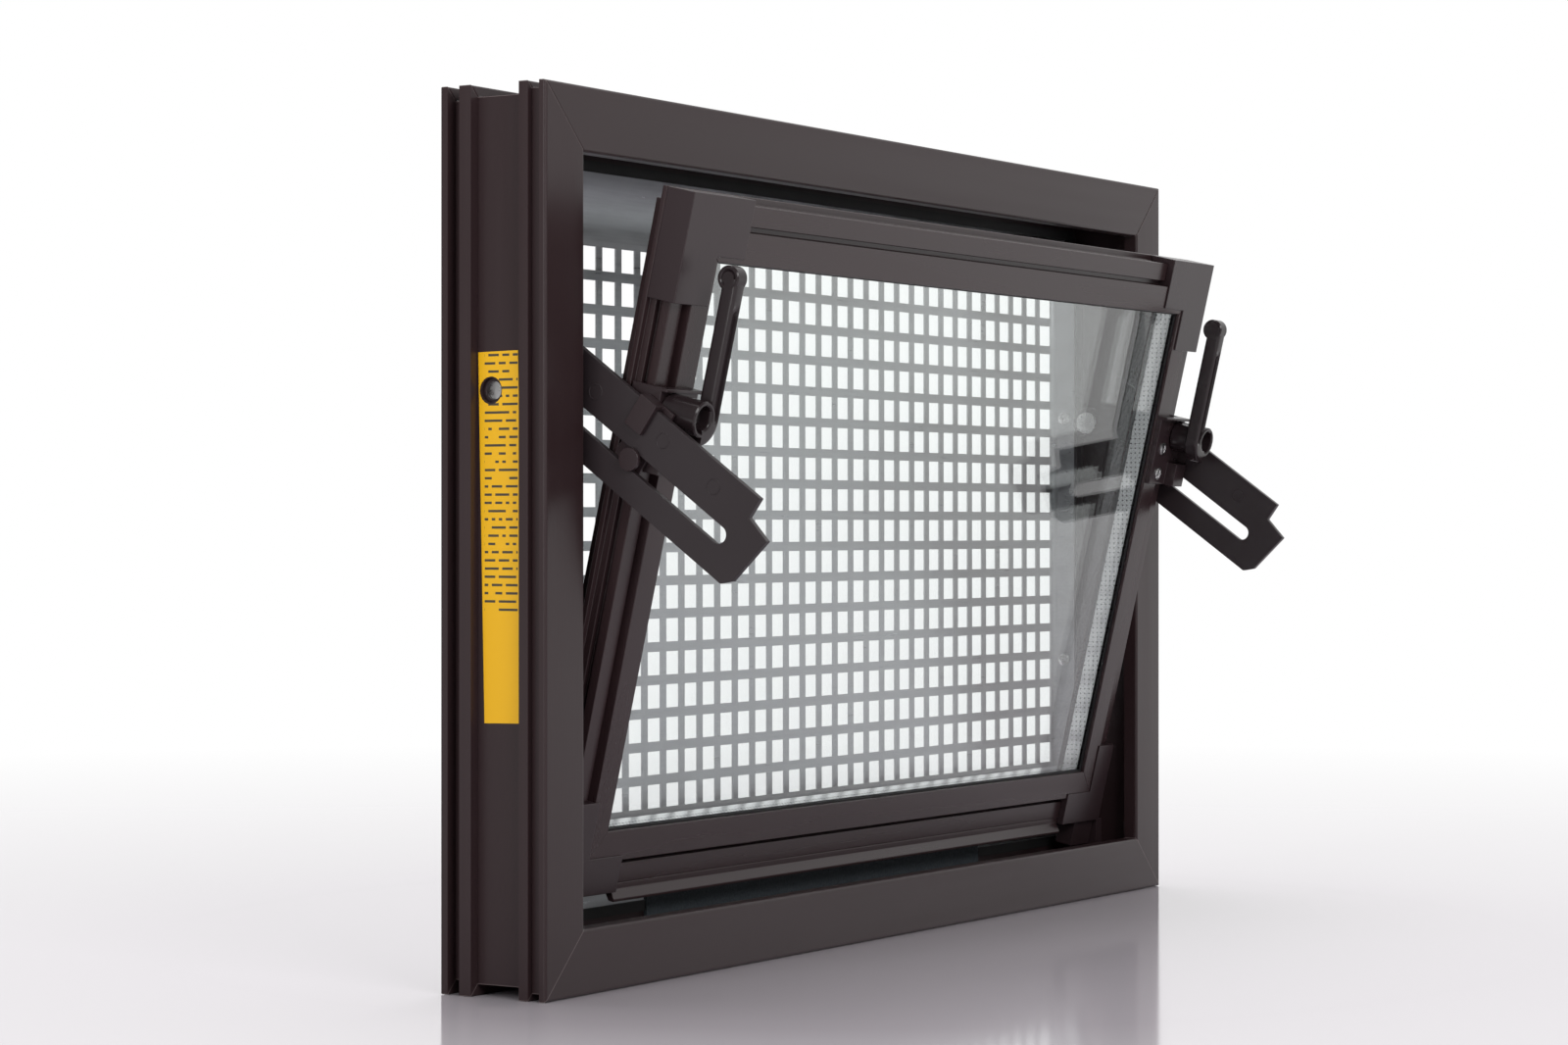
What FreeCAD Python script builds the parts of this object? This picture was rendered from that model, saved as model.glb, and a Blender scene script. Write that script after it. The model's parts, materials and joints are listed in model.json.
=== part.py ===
"""Cellar window: a frame with a tilting double-glazed sash, two stay arms, two crank levers and a grille.

Millimetres, +Z up, +X to the right seen from the room, +Y away from the room.
The origin is the middle of the frame's underside. The sash stands tilted into the room.
"""
import FreeCAD, Part
import Sketcher
import os
import re

doc = FreeCAD.newDocument("window_sash_with_crank")
sheet = doc.addObject("Spreadsheet::Sheet", "sizes")
size = {}


def driving(name, value, note):
    """Write one driving dimension as a row of the sheet: note, value, alias."""
    row = len(size) + 1
    sheet.set("A%d" % row, note)
    sheet.set("B%d" % row, repr(value))
    sheet.setAlias("B%d" % row, name)
    size[name] = value


# Frame extrusion, the same on all four sides. Depths run back from the room face.
driving("frame_wide", 600.0, "frame, outside width")
driving("frame_high", 400.0, "frame, outside height")
driving("frame_deep", 57.4, "frame, depth")
driving("frame_face", 29.2, "frame, width of its face")
driving("lip_deep", 8.0, "front lip, depth")
driving("recess", 9.2, "recess behind the lip, below the lip's inner face")
driving("stop_deep", 13.9, "rear stop, depth")
driving("rear_flange", 4.2, "outside, flange at the back")
driving("front_flange", 3.5, "outside, flange at the front")
driving("front_groove", 6.0, "outside, width of the front groove")
driving("front_groove_cut", 3.0, "outside, depth of the front groove")
driving("front_rib", 4.9, "outside, rib between front groove and channel")
driving("channel_wide", 26.0, "outside, width of the channel")
driving("channel_cut", 5.0, "outside, depth of the channel")
driving("rear_rib", 6.4, "outside, rib behind the channel")
driving("rear_groove_cut", 6.0, "outside, depth of the rear groove")
driving("chamber_wall", 2.5, "wall round the extrusion's chamber")
driving("edge_round", 1.4, "rounding of the frame's long edges")

# Grille: a sheet tray fixed in the rear stop.
driving("sheet_thick", 0.8, "grille, sheet thickness")
driving("grille_behind", 1.8, "grille, inner face behind the frame's back")
driving("hole_pitch", 15.9, "grille, hole pitch both ways")
driving("hole_wide", 11.2, "grille, side of a square hole")
driving("hole_margin", 2.4, "grille, least metal beside the outermost columns")
driving("grid_drop", 3.0, "grille, middle of the holes below the frame's middle")
driving("curve_radius", 40.0, "grille, radius of the curved top and bottom")
driving("curve_high", 30.0, "grille, height of a curved strip")
driving("side_bend", 6.0, "grille, radius of the side bends")
driving("grille_gap", 0.3, "grille, gap to the rear stop")
driving("grille_screw_high", 69.0, "grille screws, above and below the frame's middle")
driving("grille_screw_back", 7.0, "grille screws, behind the stop's face")
driving("grille_screw_bite", 6.0, "grille screws, depth in the jamb")
driving("rim_back", 0.5, "grille, front edge of its sides behind the stop's face")

# Sash extrusion and glazing. Depths run back from the sash's front face.
driving("sash_side_gap", 8.8, "sash, each side in from the opening")
driving("sash_short", 21.6, "sash, height less than the opening's")
driving("sash_band", 29.4, "sash, width of its face")
driving("inner_band", 14.4, "sash, width of the flat band next to the glass")
driving("sash_deep", 22.8, "sash, depth")
driving("sash_side_in", 3.0, "sash, outer side inside the corner caps' plane")
driving("band_step", 3.0, "sash, outer band behind the inner band")
driving("band_groove", 2.5, "sash, groove between the bands")
driving("flange_from", 13.9, "sash, depth where the rear flange starts")
driving("flange_thick", 2.6, "sash, rear flange thickness")
driving("glass_lip", 2.0, "sash, lip in front of the glass")
driving("glass_cover", 10.0, "sash, how far the lip covers the glass")
driving("gasket_thick", 1.0, "glazing gaskets, thickness")
driving("gasket_front_back", 0.2, "front glazing gasket, its edge behind the lip's")
driving("gasket_rear_back", 0.2, "rear glazing gasket, its edge behind the bead's")
driving("bead_lower", 2.0, "sash, rear bead lower than the front lip")
driving("pane_gap", 1.0, "gap round the panes in the sash")
driving("body_step", 6.0, "sash, body behind the flange, in from its side")
driving("side_groove_from", 7.5, "sash, groove in its side, from the face")
driving("side_groove_wide", 3.0, "sash, groove in its side, width")
driving("side_groove_cut", 3.0, "sash, groove in its side, depth")
driving("groove_behind", 6.0, "sash, floor of the groove between the bands")
driving("pane_thick", 4.0, "one pane")
driving("spacer_deep", 8.8, "spacer between the panes")
driving("spacer_wide", 6.0, "spacer bar, height")
driving("seal_wide", 3.5, "dark edge seal round the spacer")
driving("cap_long_top", 49.4, "upper corner caps, leg length")
driving("cap_wide_top", 27.0, "upper corner caps, leg width")
driving("cap_long_low", 44.0, "lower corner caps, leg length")
driving("cap_wide_low", 17.5, "lower corner caps, leg width")
driving("cap_rim", 17.0, "corner caps, width of the part that wraps the rail's side")
driving("cap_proud", 0.8, "corner caps, proud of the sash's face")
driving("drip_down", 5.0, "drip lip under the bottom rail, height")
driving("drip_deep", 7.0, "drip lip, depth")
driving("drip_nose", 1.5, "drip lip, thickness of its edge")
driving("drip_gap", 0.5, "drip lip, gap to each corner cap")

# Where the sash stands, and its hinge near the foot.
driving("tilt", 13.08, "sash, tilt into the room, degrees")
driving("sash_foot_back", 20.6, "sash, lower front edge behind the room face")
driving("foot_above", 7.9, "sash, lower front edge above its hinge")
driving("hinge_back", 30.0, "sash hinge, behind the room face")
driving("hinge_rise", 12.0, "sash hinge, above the floor of the sill's recess")
driving("hinge_pin_radius", 3.0, "sash hinge pin")
driving("running", 0.05, "radial clearance of a running fit")
driving("bearing_thick", 7.0, "hinge bearing, thickness")
driving("bearing_half", 8.0, "hinge bearing, half its depth")
driving("bearing_long", 57.4, "hinge bearing, length of its base")
driving("bearing_end", 0.6, "hinge bearing, gap to the opening's side")
driving("base_thick", 2.5, "hinge bearing, thickness of its base")
driving("base_gap", 1.0, "hinge bearing, gap before and behind its base")
driving("base_screw_in", 45.0, "bearing screws, in from the opening's side")
driving("base_screw_half", 5.0, "bearing screws, before and behind the hinge")
driving("base_screw_deep", 9.0, "bearing screws, depth in the sill")
driving("foot_gap", 0.4, "sash foot, in from the sash's side")
driving("foot_wall", 2.0, "sash foot, wall round the hinge pin")
driving("pin_in", 4.0, "hinge pin, its inner end from the foot's")
driving("pin_short", 1.0, "hinge pin, its outer end short of the opening's side")
driving("foot_wide", 22.0, "sash foot, width")

# Stay arms, beside the sash. Along the arm is a, across it towards its upper edge is b.
driving("arm_gap", 2.4, "arm, inner face beside the sash")
driving("arm_thick", 3.2, "arm, thickness")
driving("pivot_back", 33.0, "arm pivot, behind the room face")
driving("pivot_below", 134.0, "arm pivot, below the frame's top")
driving("pivot_radius", 4.0, "arm pivot pin")
driving("pivot_head", 6.0, "arm pivot pin, radius of its head")
driving("pivot_head_thick", 1.3, "arm pivot pin, thickness of its head")
driving("bush_collar", 7.0, "pivot bush, radius of its collar")
driving("bush_short", 2.0, "pivot bush, its end short of the channel")
driving("pivot_short", 4.0, "arm pivot pin, its end short of the channel")
driving("arm_above", 32.7, "arm, upper edge above the pivot")
driving("arm_below", 8.9, "arm, lower edge below the pivot")
driving("arm_step_long", 127.3, "arm, pivot to the stepped end")
driving("arm_step", 10.0, "arm, height of the step at the end")
driving("arm_nose_long", 140.7, "arm, pivot to the nose")
driving("arm_nose_back", 4.3, "arm, slant of the nose")
driving("arm_corner", 4.5, "arm, chamfer under the nose")
driving("arm_nose_drop", 3.0, "arm, fall of the step's edge towards the nose")
driving("slot_above", 7.7, "slot, middle line above the pivot")
driving("slot_half", 3.9, "slot, half width")
driving("slot_start", 18.0, "slot, pivot to the near end")
driving("slot_end", 122.9, "slot, pivot to the far end")
driving("pin_back", 2.346, "guide pin, behind the sash's face")
driving("pin_below", 119.725, "guide pin, below the sash's top")
driving("guide_radius", 3.6, "guide pin radius")
driving("guide_head", 5.2, "guide pin, radius of its outer disc")
driving("shoe_thick", 1.7, "claw, thickness of its inner plate")
driving("shoe_gap", 0.3, "gap between claw and arm")
driving("claw_thick", 2.3, "claw, thickness of its outer tongue")
driving("claw_wide", 10.0, "claw, width")
driving("claw_reach", 13.0, "claw, reach down the arm's outer face")
driving("claw_bridge", 2.0, "claw, thickness over the arm's edge")
driving("claw_start", 1.0, "claw, its lower edge above the guide pin")
driving("stub_radius", 2.6, "guide pin, radius in the claw")
driving("disc_short", 0.3, "guide pin, its disc thinner than the claw's tongue")

# Crank levers on the stiles.
driving("hub_in", 8.6, "crank hub, in from the sash's side")
driving("hub_below", 96.6, "crank hub, below the sash's top")
driving("hub_radius", 8.3, "crank hub, outside radius")
driving("hub_bore", 6.1, "crank hub, radius of its open front")
driving("hub_front", 22.4, "crank hub, front end before the sash's face")
driving("hub_long", 18.9, "crank hub, length")
driving("bore_deep", 12.0, "crank hub, depth of its open front")
driving("spindle_radius", 4.0, "spindle the crank turns on")
driving("lever_in", 8.2, "lever, its middle nearer the window's middle than the hub")
driving("lever_wide", 7.6, "lever, width")
driving("lever_thick", 8.0, "lever, thickness")
driving("lever_up", 62.5, "knob, above the hub")
driving("knob_radius", 5.6, "knob, radius")
driving("knob_back", 5.2, "knob, middle behind the lever's front face")
driving("bracket_high", 38.0, "bracket, height")
driving("bracket_top", 10.1, "bracket, top edge above the hub")
driving("bracket_thick", 3.0, "bracket, thickness of its plate")
driving("bracket_block", 9.0, "bracket, thickness of its lower block")
driving("block_wide", 11.76, "bracket, width of its lower block")
driving("block_high", 12.67, "bracket, height of its lower block")
driving("shelf_deep", 6.0, "bracket, depth of its top shelf")
driving("shelf_thick", 1.6, "bracket, thickness of its top shelf")
driving("cheek_short", 1.0, "bracket, its side short of the rear flange")
driving("bracket_screw_in", 8.0, "bracket screws, from the plate's inner edge")
driving("bracket_screw_low", 6.0, "bracket screws, lower one above the plate's foot")
driving("bracket_screw_apart", 14.0, "bracket screws, distance between them")
driving("spindle_gap", 0.3, "spindle and retainer, gap to the hub's floor")
driving("retainer_gap", 0.7, "retainer, smaller than the hub's bore")
driving("retainer_thick", 2.0, "retainer, thickness")
driving("foot_rise", 3.0, "crank, its foot's curve above the hub")

# Strip, label and screws.
driving("strip_short", 109.8, "foam strip, each end in from the opening")
driving("strip_gap", 0.5, "foam strip, gap to the frame gasket")
driving("strip_rise", 4.0, "foam strip, above the opening's floor")
driving("strip_thick", 1.7, "foam strip, thickness")
driving("gasket_in", 1.0, "frame gasket, reach into the opening")
driving("gasket_seat", 4.0, "frame gasket, width on the stop")
driving("gasket_fin", 1.2, "frame gasket, thickness")
driving("label_high", 163.0, "label, height")
driving("label_wide", 21.6, "label, width")
driving("label_thick", 0.25, "label, thickness")
driving("label_base", 120.0, "label, lower edge above the underside")
driving("label_skew", 1.2, "label, turned in its channel, degrees")
driving("label_forward", 1.7, "label, before the channel's middle")
driving("label_hole_gap", 0.6, "label, its hole larger than the access hole")
driving("label_hole_back", 3.0, "label, its hole before the access hole, allowing for the skew")
driving("access_radius", 5.5, "access hole over the arm's pivot")
driving("screw_radius", 1.8, "small screws, shank")
driving("screw_head", 3.5, "small screws, head radius")
driving("screw_cap", 1.4, "small screws, head thickness")
driving("overrun", 1.0, "how far a cutter runs past what it cuts")
doc.recompute()


def derived(name, formula, note):
    """Write a value that follows from driving ones; angles are in degrees."""
    row = len(size) + 1
    sheet.set("A%d" % row, note)
    sheet.set("B%d" % row, "=" + formula)
    sheet.setAlias("B%d" % row, name)
    doc.recompute()
    size[name] = float(sheet.get(name))


derived("front", "-frame_deep / 2", "room face of the frame, from its middle")
derived("channel_start", "front + front_flange + front_groove + front_rib", "front edge of the channel")
derived("stop_face", "frame_deep / 2 - stop_deep", "front face of the rear stop")
derived("open_half", "frame_wide / 2 - frame_face", "half the opening's width")
derived("sash_wide", "2 * open_half - 2 * sash_side_gap", "sash, width")
derived("sash_high", "frame_high - 2 * frame_face - sash_short", "sash, height")
derived("arm_plane", "sash_wide / 2 + arm_gap", "arm, inner face from the middle")
derived("pivot_high", "frame_high - pivot_below", "arm pivot, above the underside")
derived("hub_half", "sash_wide / 2 - hub_in", "crank hub, from the middle")
derived("hub_up", "sash_high - hub_below", "crank hub, up the sash")
derived("strip_half", "open_half - strip_short", "foam strip, half its length")
derived("open_top", "frame_high - frame_face", "top of the opening")
derived("grille_half", "open_half - grille_gap", "half the grille's width")
derived("grille_back", "frame_deep / 2 + grille_behind + sheet_thick", "outer face of the grille")
derived("grid_middle", "frame_high / 2 - grid_drop", "middle of the grid of holes")
derived("grille_low", "frame_face + grille_gap", "lower edge of the grille")
derived("grille_top", "open_top - grille_gap", "upper edge of the grille")
derived(
    "columns",
    "floor((2 * (grille_half - hole_margin) - hole_wide) / hole_pitch) + 1",
    "columns of holes that fit between the grille's sides",
)
derived(
    "rows",
    "ceil((grille_top - grille_low - 2 * curve_high) / hole_pitch)",
    "rows of holes that cover the flat part",
)
derived("recess_floor", "frame_face - recess", "floor of the sill's recess")
derived("hinge_high", "recess_floor + hinge_rise", "sash hinge, above the underside")
derived("sash_foot_high", "hinge_high + foot_above", "sash, lower front edge above the underside")
derived("foot_y", "sash_foot_back + front", "sash, lower front edge")
derived("hinge_y", "hinge_back + front", "sash hinge")
derived("pivot_y", "pivot_back + front", "arm pivot")
derived("pane_half", "sash_wide / 2 - sash_band + glass_cover - pane_gap", "half a pane's width")
derived("pane_low", "sash_band - glass_cover + pane_gap", "a pane's lower edge, up the sash")
derived("pane_top", "sash_high - pane_low", "a pane's upper edge, up the sash")
derived("unit_front", "glass_lip + gasket_thick", "front of the glazing unit")
derived("unit_back", "unit_front + 2 * pane_thick + spacer_deep", "back of the glazing unit")
derived("hinge_before", "hinge_y - foot_y", "hinge behind the sash's lower front edge")
derived("hinge_over", "hinge_high - sash_foot_high", "hinge above that edge")
derived("hinge_t", "hinge_before * cos(tilt) + hinge_over * sin(tilt)", "hinge, back from the sash's face")
derived("hinge_v", "hinge_over * cos(tilt) - hinge_before * sin(tilt)", "hinge, up the sash")
derived("pin_up", "sash_high - pin_below", "guide pin, up the sash")
derived("pin_y", "foot_y + pin_back * cos(tilt) - pin_up * sin(tilt)", "guide pin, on the tilted sash")
derived(
    "pin_z",
    "sash_foot_high + pin_back * sin(tilt) + pin_up * cos(tilt)",
    "guide pin, above the underside",
)
derived("reach_y", "pivot_y - pin_y", "guide pin before the arm's pivot")
derived("reach_z", "pivot_high - pin_z", "guide pin below the arm's pivot")
derived("shoe_along", "sqrt(reach_y^2 + reach_z^2 - slot_above^2)", "guide pin, along the arm from its pivot")
derived(
    "arm_slope",
    "(atan2(reach_z; reach_y) + atan2(slot_above; shoe_along)) / 1deg",
    "arm, slope down into the room that its pin on the sash gives it",
)
derived("bracket_low", "hub_up + bracket_top - bracket_high", "lower edge of the bracket")
derived("lever_half", "hub_half - lever_in", "lever's middle, from the window's middle")
derived("hub_floor", "-hub_front + bore_deep", "floor of the hub's open front")
derived("claw_face", "arm_plane - shoe_gap - shoe_thick", "inner face of the claw")
derived("claw_out", "arm_plane + arm_thick + shoe_gap", "inner face of the claw's tongue")

ALIAS = re.compile(r"[a-z_]+")


def words(text):
    """Turn a formula in the sheet's words into an expression that FreeCAD binds."""
    def cell(match):
        word = match.group(0)
        return "sizes." + word if word in size else word
    return ALIAS.sub(cell, text)


def slab(name, across, back, up):
    """A block between two places on each axis, all six given as formulas."""
    block = doc.addObject("Part::Box", name)
    for side, axis, (low, high) in zip(("Length", "Width", "Height"), "xyz", (across, back, up)):
        block.setExpression(side, words("(%s) - (%s)" % (high, low)))
        block.setExpression("Placement.Base." + axis, words(low))
    return block


TURNS = {
    "x": FreeCAD.Rotation(FreeCAD.Vector(0, 1, 0), 90),
    "y": FreeCAD.Rotation(FreeCAD.Vector(1, 0, 0), -90),
    "z": FreeCAD.Rotation(),
}


def rod(name, axis, radius, start, end, first, second):
    """A cylinder along one axis from start to end; first and second place it on the other two."""
    post = doc.addObject("Part::Cylinder", name)
    post.Placement = FreeCAD.Placement(FreeCAD.Vector(), TURNS[axis])
    post.setExpression("Radius", words(radius))
    post.setExpression("Height", words("(%s) - (%s)" % (end, start)))
    others = [other for other in "xyz" if other != axis]
    for place, formula in zip([axis] + others, (start, first, second)):
        post.setExpression("Placement.Base." + place, words(formula))
    return post


def joined(name, items):
    """Several pieces as one solid."""
    item = doc.addObject("Part::MultiFuse", name)
    item.Shapes = items
    item.Refine = True
    return item


def group(name, items):
    """Like pieces that share a node but stay separate solids."""
    item = doc.addObject("Part::Compound", name)
    item.Links = items
    return item


def less(name, base, tools):
    """A piece with others cut away from it."""
    cutter = tools[0]
    if len(tools) > 1:
        cutter = doc.addObject("Part::MultiFuse", name + "_cutter")
        cutter.Shapes = tools
    item = doc.addObject("Part::Cut", name)
    item.Base = base
    item.Tool = cutter
    item.Refine = True
    return item


def rounded(name, base, radius, wanted):
    """Round the edges whose middle and direction the test accepts."""
    doc.recompute()
    chosen = []
    for number, edge in enumerate(base.Shape.Edges, 1):
        if not isinstance(edge.Curve, Part.Line):
            continue
        middle = edge.CenterOfMass
        if wanted(middle, edge.Curve.Direction):
            chosen.append((number, radius, radius))
    item = doc.addObject("Part::Fillet", name)
    item.Base = base
    item.Edges = chosen
    return item


def outline(body, name, plane, points):
    """A closed outline of straight lines on a body's own plane, every corner bound to the sheet."""
    sketch = body.newObject("Sketcher::SketchObject", name)
    support = [item for item in body.Origin.OriginFeatures if item.Role == plane][0]
    sketch.AttachmentSupport = [(support, "")]
    sketch.MapMode = "FlatFace"
    start = [FreeCAD.Vector(number * 10.0, (number * number) % 7, 0) for number in range(len(points))]
    for number, corner in enumerate(start):
        sketch.addGeometry(Part.LineSegment(corner, start[(number + 1) % len(start)]), False)
    for number in range(len(points)):
        following = (number + 1) % len(points)
        sketch.addConstraint(Sketcher.Constraint("Coincident", number, 2, following, 1))
    for number, (first, second) in enumerate(points):
        for kind, formula in (("DistanceX", first), ("DistanceY", second)):
            index = sketch.addConstraint(Sketcher.Constraint(kind, -1, 1, number, 1, 1.0 + number))
            sketch.setExpression("Constraints[%d]" % index, words(formula))
    return sketch


def padded(name, plane, points, length, start):
    """An outline padded along X from its starting place."""
    body = doc.addObject("PartDesign::Body", name)
    sketch = outline(body, name + "_outline", plane, points)
    pad = body.newObject("PartDesign::Pad", name + "_pad")
    pad.Profile = sketch
    pad.setExpression("Length", words(length))
    body.setExpression("Placement.Base.x", words(start))
    return body


def placed(item, place, axis, angle):
    """Move a finished piece: place is three formulas, then a turn about one axis."""
    vector = "create(<<vector>>; %s; %s; %s)" % tuple(words(formula) for formula in place)
    turn = "create(<<rotation>>; create(<<vector>>; %s); %s)" % (axis, words(angle))
    item.setExpression("Placement", "create(<<placement>>; %s; %s)" % (vector, turn))
    return item


def beside(sign, low, high):
    """The same stretch left or right of the middle."""
    if sign > 0:
        return low, high
    return "-(%s)" % high, "-(%s)" % low


def mitre(name, long, sign):
    """A tall block whose face lies on the 45 degree mitre at one end of a rail."""
    across = beside(sign, "0", "frame_wide")
    block = slab(name, across, ("-frame_deep", "frame_deep"), ("-frame_wide", "2 * frame_wide"))
    turned = group(name + "_turned", [block])
    return placed(turned, ("%d * %s / 2" % (sign, long), "0", "0"), "0; 1; 0", "%d * 45" % -sign)


SIDES = (("left", -1), ("right", 1))
parts = {}


def finish(name, item):
    """Name a sub-part and keep it for writing."""
    item.Label = name
    parts[name] = item
    return item


# ---- Frame: four lengths of one extrusion, mitred and welded. Y runs back, Z runs in to the opening.
FRAME_SECTION = [
    ("front", "0"),
    ("front + front_flange", "0"),
    ("front + front_flange", "front_groove_cut"),
    ("front + front_flange + front_groove", "front_groove_cut"),
    ("front + front_flange + front_groove", "0"),
    ("channel_start", "0"),
    ("channel_start", "channel_cut"),
    ("channel_start + channel_wide", "channel_cut"),
    ("channel_start + channel_wide", "0"),
    ("channel_start + channel_wide + rear_rib", "0"),
    ("channel_start + channel_wide + rear_rib", "rear_groove_cut"),
    ("frame_deep / 2 - rear_flange", "rear_groove_cut"),
    ("frame_deep / 2 - rear_flange", "0"),
    ("frame_deep / 2", "0"),
    ("frame_deep / 2", "frame_face"),
    ("stop_face", "frame_face"),
    ("stop_face", "frame_face - recess"),
    ("front + lip_deep", "frame_face - recess"),
    ("front + lip_deep", "frame_face"),
    ("front", "frame_face"),
]


def frame_rail(name, long):
    """One length of frame extrusion with its chamber, rounded lips and mitred ends."""
    half = long + " / 2"
    solid = padded(name + "_section", "YZ_Plane", FRAME_SECTION, long, "-" + half)
    chamber = slab(
        name + "_chamber",
        ("-" + half, half),
        ("front + lip_deep + chamber_wall", "stop_face - chamber_wall"),
        ("channel_cut + chamber_wall", "frame_face - recess - chamber_wall"),
    )
    hollow = less(name + "_hollow", solid, [chamber])
    deep, face = size["frame_deep"] / 2, size["frame_face"]

    def lip_edge(middle, direction):
        outer_corner = abs(abs(middle.y) - deep) < 0.01 and abs(direction.x) > 0.99
        return outer_corner and (abs(middle.z) < 0.01 or abs(middle.z - face) < 0.01)

    soft = rounded(name + "_soft", hollow, size["edge_round"], lip_edge)
    ends = [mitre(name + "_end_" + side, long, sign) for side, sign in SIDES]
    return less(name + "_mitred", soft, ends)


sill = frame_rail("sill", "frame_wide")
head = frame_rail("head", "frame_wide")
placed(head, ("0", "0", "frame_high"), "0; 1; 0", "180")
finish("frame_head", head)

screw_line = "stop_face + grille_screw_back"
for side, sign in SIDES:
    jamb = frame_rail("jamb_" + side, "frame_high")
    placed(jamb, ("%d * frame_wide / 2" % sign, "0", "frame_high / 2"), "0; 1; 0", "%d * 90" % -sign)
    outer, inner = beside(sign, "open_half - overrun", "frame_wide / 2 + overrun")
    holes = [rod("access_" + side, "x", "access_radius", outer, inner, "pivot_y", "pivot_high")]
    for number, way in enumerate(("-", "+")):
        up = "frame_high / 2 %s grille_screw_high" % way
        start, end = beside(sign, "open_half - overrun", "open_half + grille_screw_bite")
        hole = rod("rim_hole_%s_%d" % (side, number), "x", "screw_radius", start, end, screw_line, up)
        holes.append(hole)
    finish("frame_jamb_" + side, less("drilled_jamb_" + side, jamb, holes))

BASE_SCREWS = ("hinge_y - base_screw_half", "hinge_y + base_screw_half")
sill_holes = []
for side, sign in SIDES:
    for number, back in enumerate(BASE_SCREWS):
        tag = "sill_hole_%s_%d" % (side, number)
        across = "%d * (open_half - base_screw_in)" % sign
        deep, top = "recess_floor - base_screw_deep", "recess_floor + overrun"
        sill_holes.append(rod(tag, "z", "screw_radius", deep, top, across, back))
finish("frame_sill", less("drilled_sill", sill, sill_holes))

outer_ring = slab(
    "gasket_outer",
    ("-open_half - gasket_seat", "open_half + gasket_seat"),
    ("stop_face - gasket_fin", "stop_face"),
    ("frame_face - gasket_seat", "open_top + gasket_seat"),
)
through = ("stop_face - gasket_fin - overrun", "stop_face + overrun")
inner_ring = slab(
    "gasket_inner",
    ("-open_half + gasket_in", "open_half - gasket_in"),
    through,
    ("frame_face + gasket_in", "open_top - gasket_in"),
)
seat = slab(
    "gasket_seat_for_strip",
    ("-strip_half - strip_gap", "strip_half + strip_gap"),
    through,
    ("0", "frame_face + gasket_in + overrun"),
)
finish("frame_gasket", less("gasket_ring", outer_ring, [inner_ring, seat]))
strip = slab(
    "strip",
    ("-strip_half", "strip_half"),
    ("stop_face - strip_thick", "stop_face"),
    ("recess_floor", "frame_face + strip_rise"),
)
finish("sill_strip", group("strip_piece", [strip]))

label_back = "channel_start + channel_wide / 2 - label_forward"
label = slab("label_sheet", ("-label_thick", "0"), ("-label_wide / 2", "label_wide / 2"), ("0", "label_high"))
label_hole = rod(
    "label_hole",
    "x",
    "access_radius + label_hole_gap",
    "-label_thick - overrun",
    "overrun",
    "pivot_y - (%s) - label_hole_back" % label_back,
    "pivot_high - label_base",
)
label_cut = less("label_cut", label, [label_hole])
placed(label_cut, ("-frame_wide / 2 + channel_cut", label_back, "label_base"), "1; 0; 0", "-label_skew")
finish("channel_label", label_cut)

# ---- Grille: one perforated sheet, curved towards the room above and below, turned in at the sides.
curve_middle = "grille_back - curve_radius"
curve_foot = "grille_low + curve_high"
curve_head = "grille_top - curve_high"
flat = slab(
    "grille_flat",
    ("-grille_half + side_bend", "grille_half - side_bend"),
    ("grille_back - sheet_thick", "grille_back"),
    (curve_foot, curve_head),
)
sheet_pieces = [flat]
for name, low, high, middle in (
    ("upper", curve_head, "grille_top", curve_head),
    ("lower", "grille_low", curve_foot, curve_foot),
):
    start, end = "-grille_half", "grille_half"
    outside = rod("curve_out_" + name, "x", "curve_radius", start, end, curve_middle, middle)
    inside = rod("curve_in_" + name, "x", "curve_radius - sheet_thick", start, end, curve_middle, middle)
    ring = less("curve_ring_" + name, outside, [inside])
    window = slab("curve_window_" + name, (start, end), (curve_middle, "grille_back + overrun"), (low, high))
    strip_curve = doc.addObject("Part::Common", "curve_" + name)
    strip_curve.Base = ring
    strip_curve.Tool = window
    sheet_pieces.append(strip_curve)
bend_middle = "grille_back - side_bend"
for side, sign in SIDES:
    high = (curve_foot, curve_head)
    rim = slab(
        "rim_" + side,
        beside(sign, "grille_half - sheet_thick", "grille_half"),
        ("stop_face + rim_back", bend_middle),
        high,
    )
    centre = "%d * (grille_half - side_bend)" % sign
    outside = rod("bend_out_" + side, "z", "side_bend", high[0], high[1], centre, bend_middle)
    inside = rod("bend_in_" + side, "z", "side_bend - sheet_thick", high[0], high[1], centre, bend_middle)
    ring = less("bend_ring_" + side, outside, [inside])
    window = slab(
        "bend_window_" + side,
        beside(sign, "grille_half - side_bend", "grille_half + overrun"),
        (bend_middle, "grille_back + overrun"),
        high,
    )
    bend = doc.addObject("Part::Common", "bend_" + side)
    bend.Base = ring
    bend.Tool = window
    sheet_pieces += [rim, bend]
tray = joined("grille_tray", sheet_pieces)


def grid_of_holes():
    """Square cutters in rows and columns about the grille's middle."""
    side = size["hole_wide"]
    deep = size["curve_radius"] / 2
    cutters = []
    for column in range(int(size["columns"])):
        across = (column - (size["columns"] - 1) / 2) * size["hole_pitch"]
        for row in range(int(size["rows"])):
            up = size["grid_middle"] + (row - (size["rows"] - 1) / 2) * size["hole_pitch"]
            corner = FreeCAD.Vector(across - side / 2, size["grille_back"] - deep / 2, up - side / 2)
            cutters.append(Part.makeBox(side, deep, side, corner))
    return Part.makeCompound(cutters)


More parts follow.
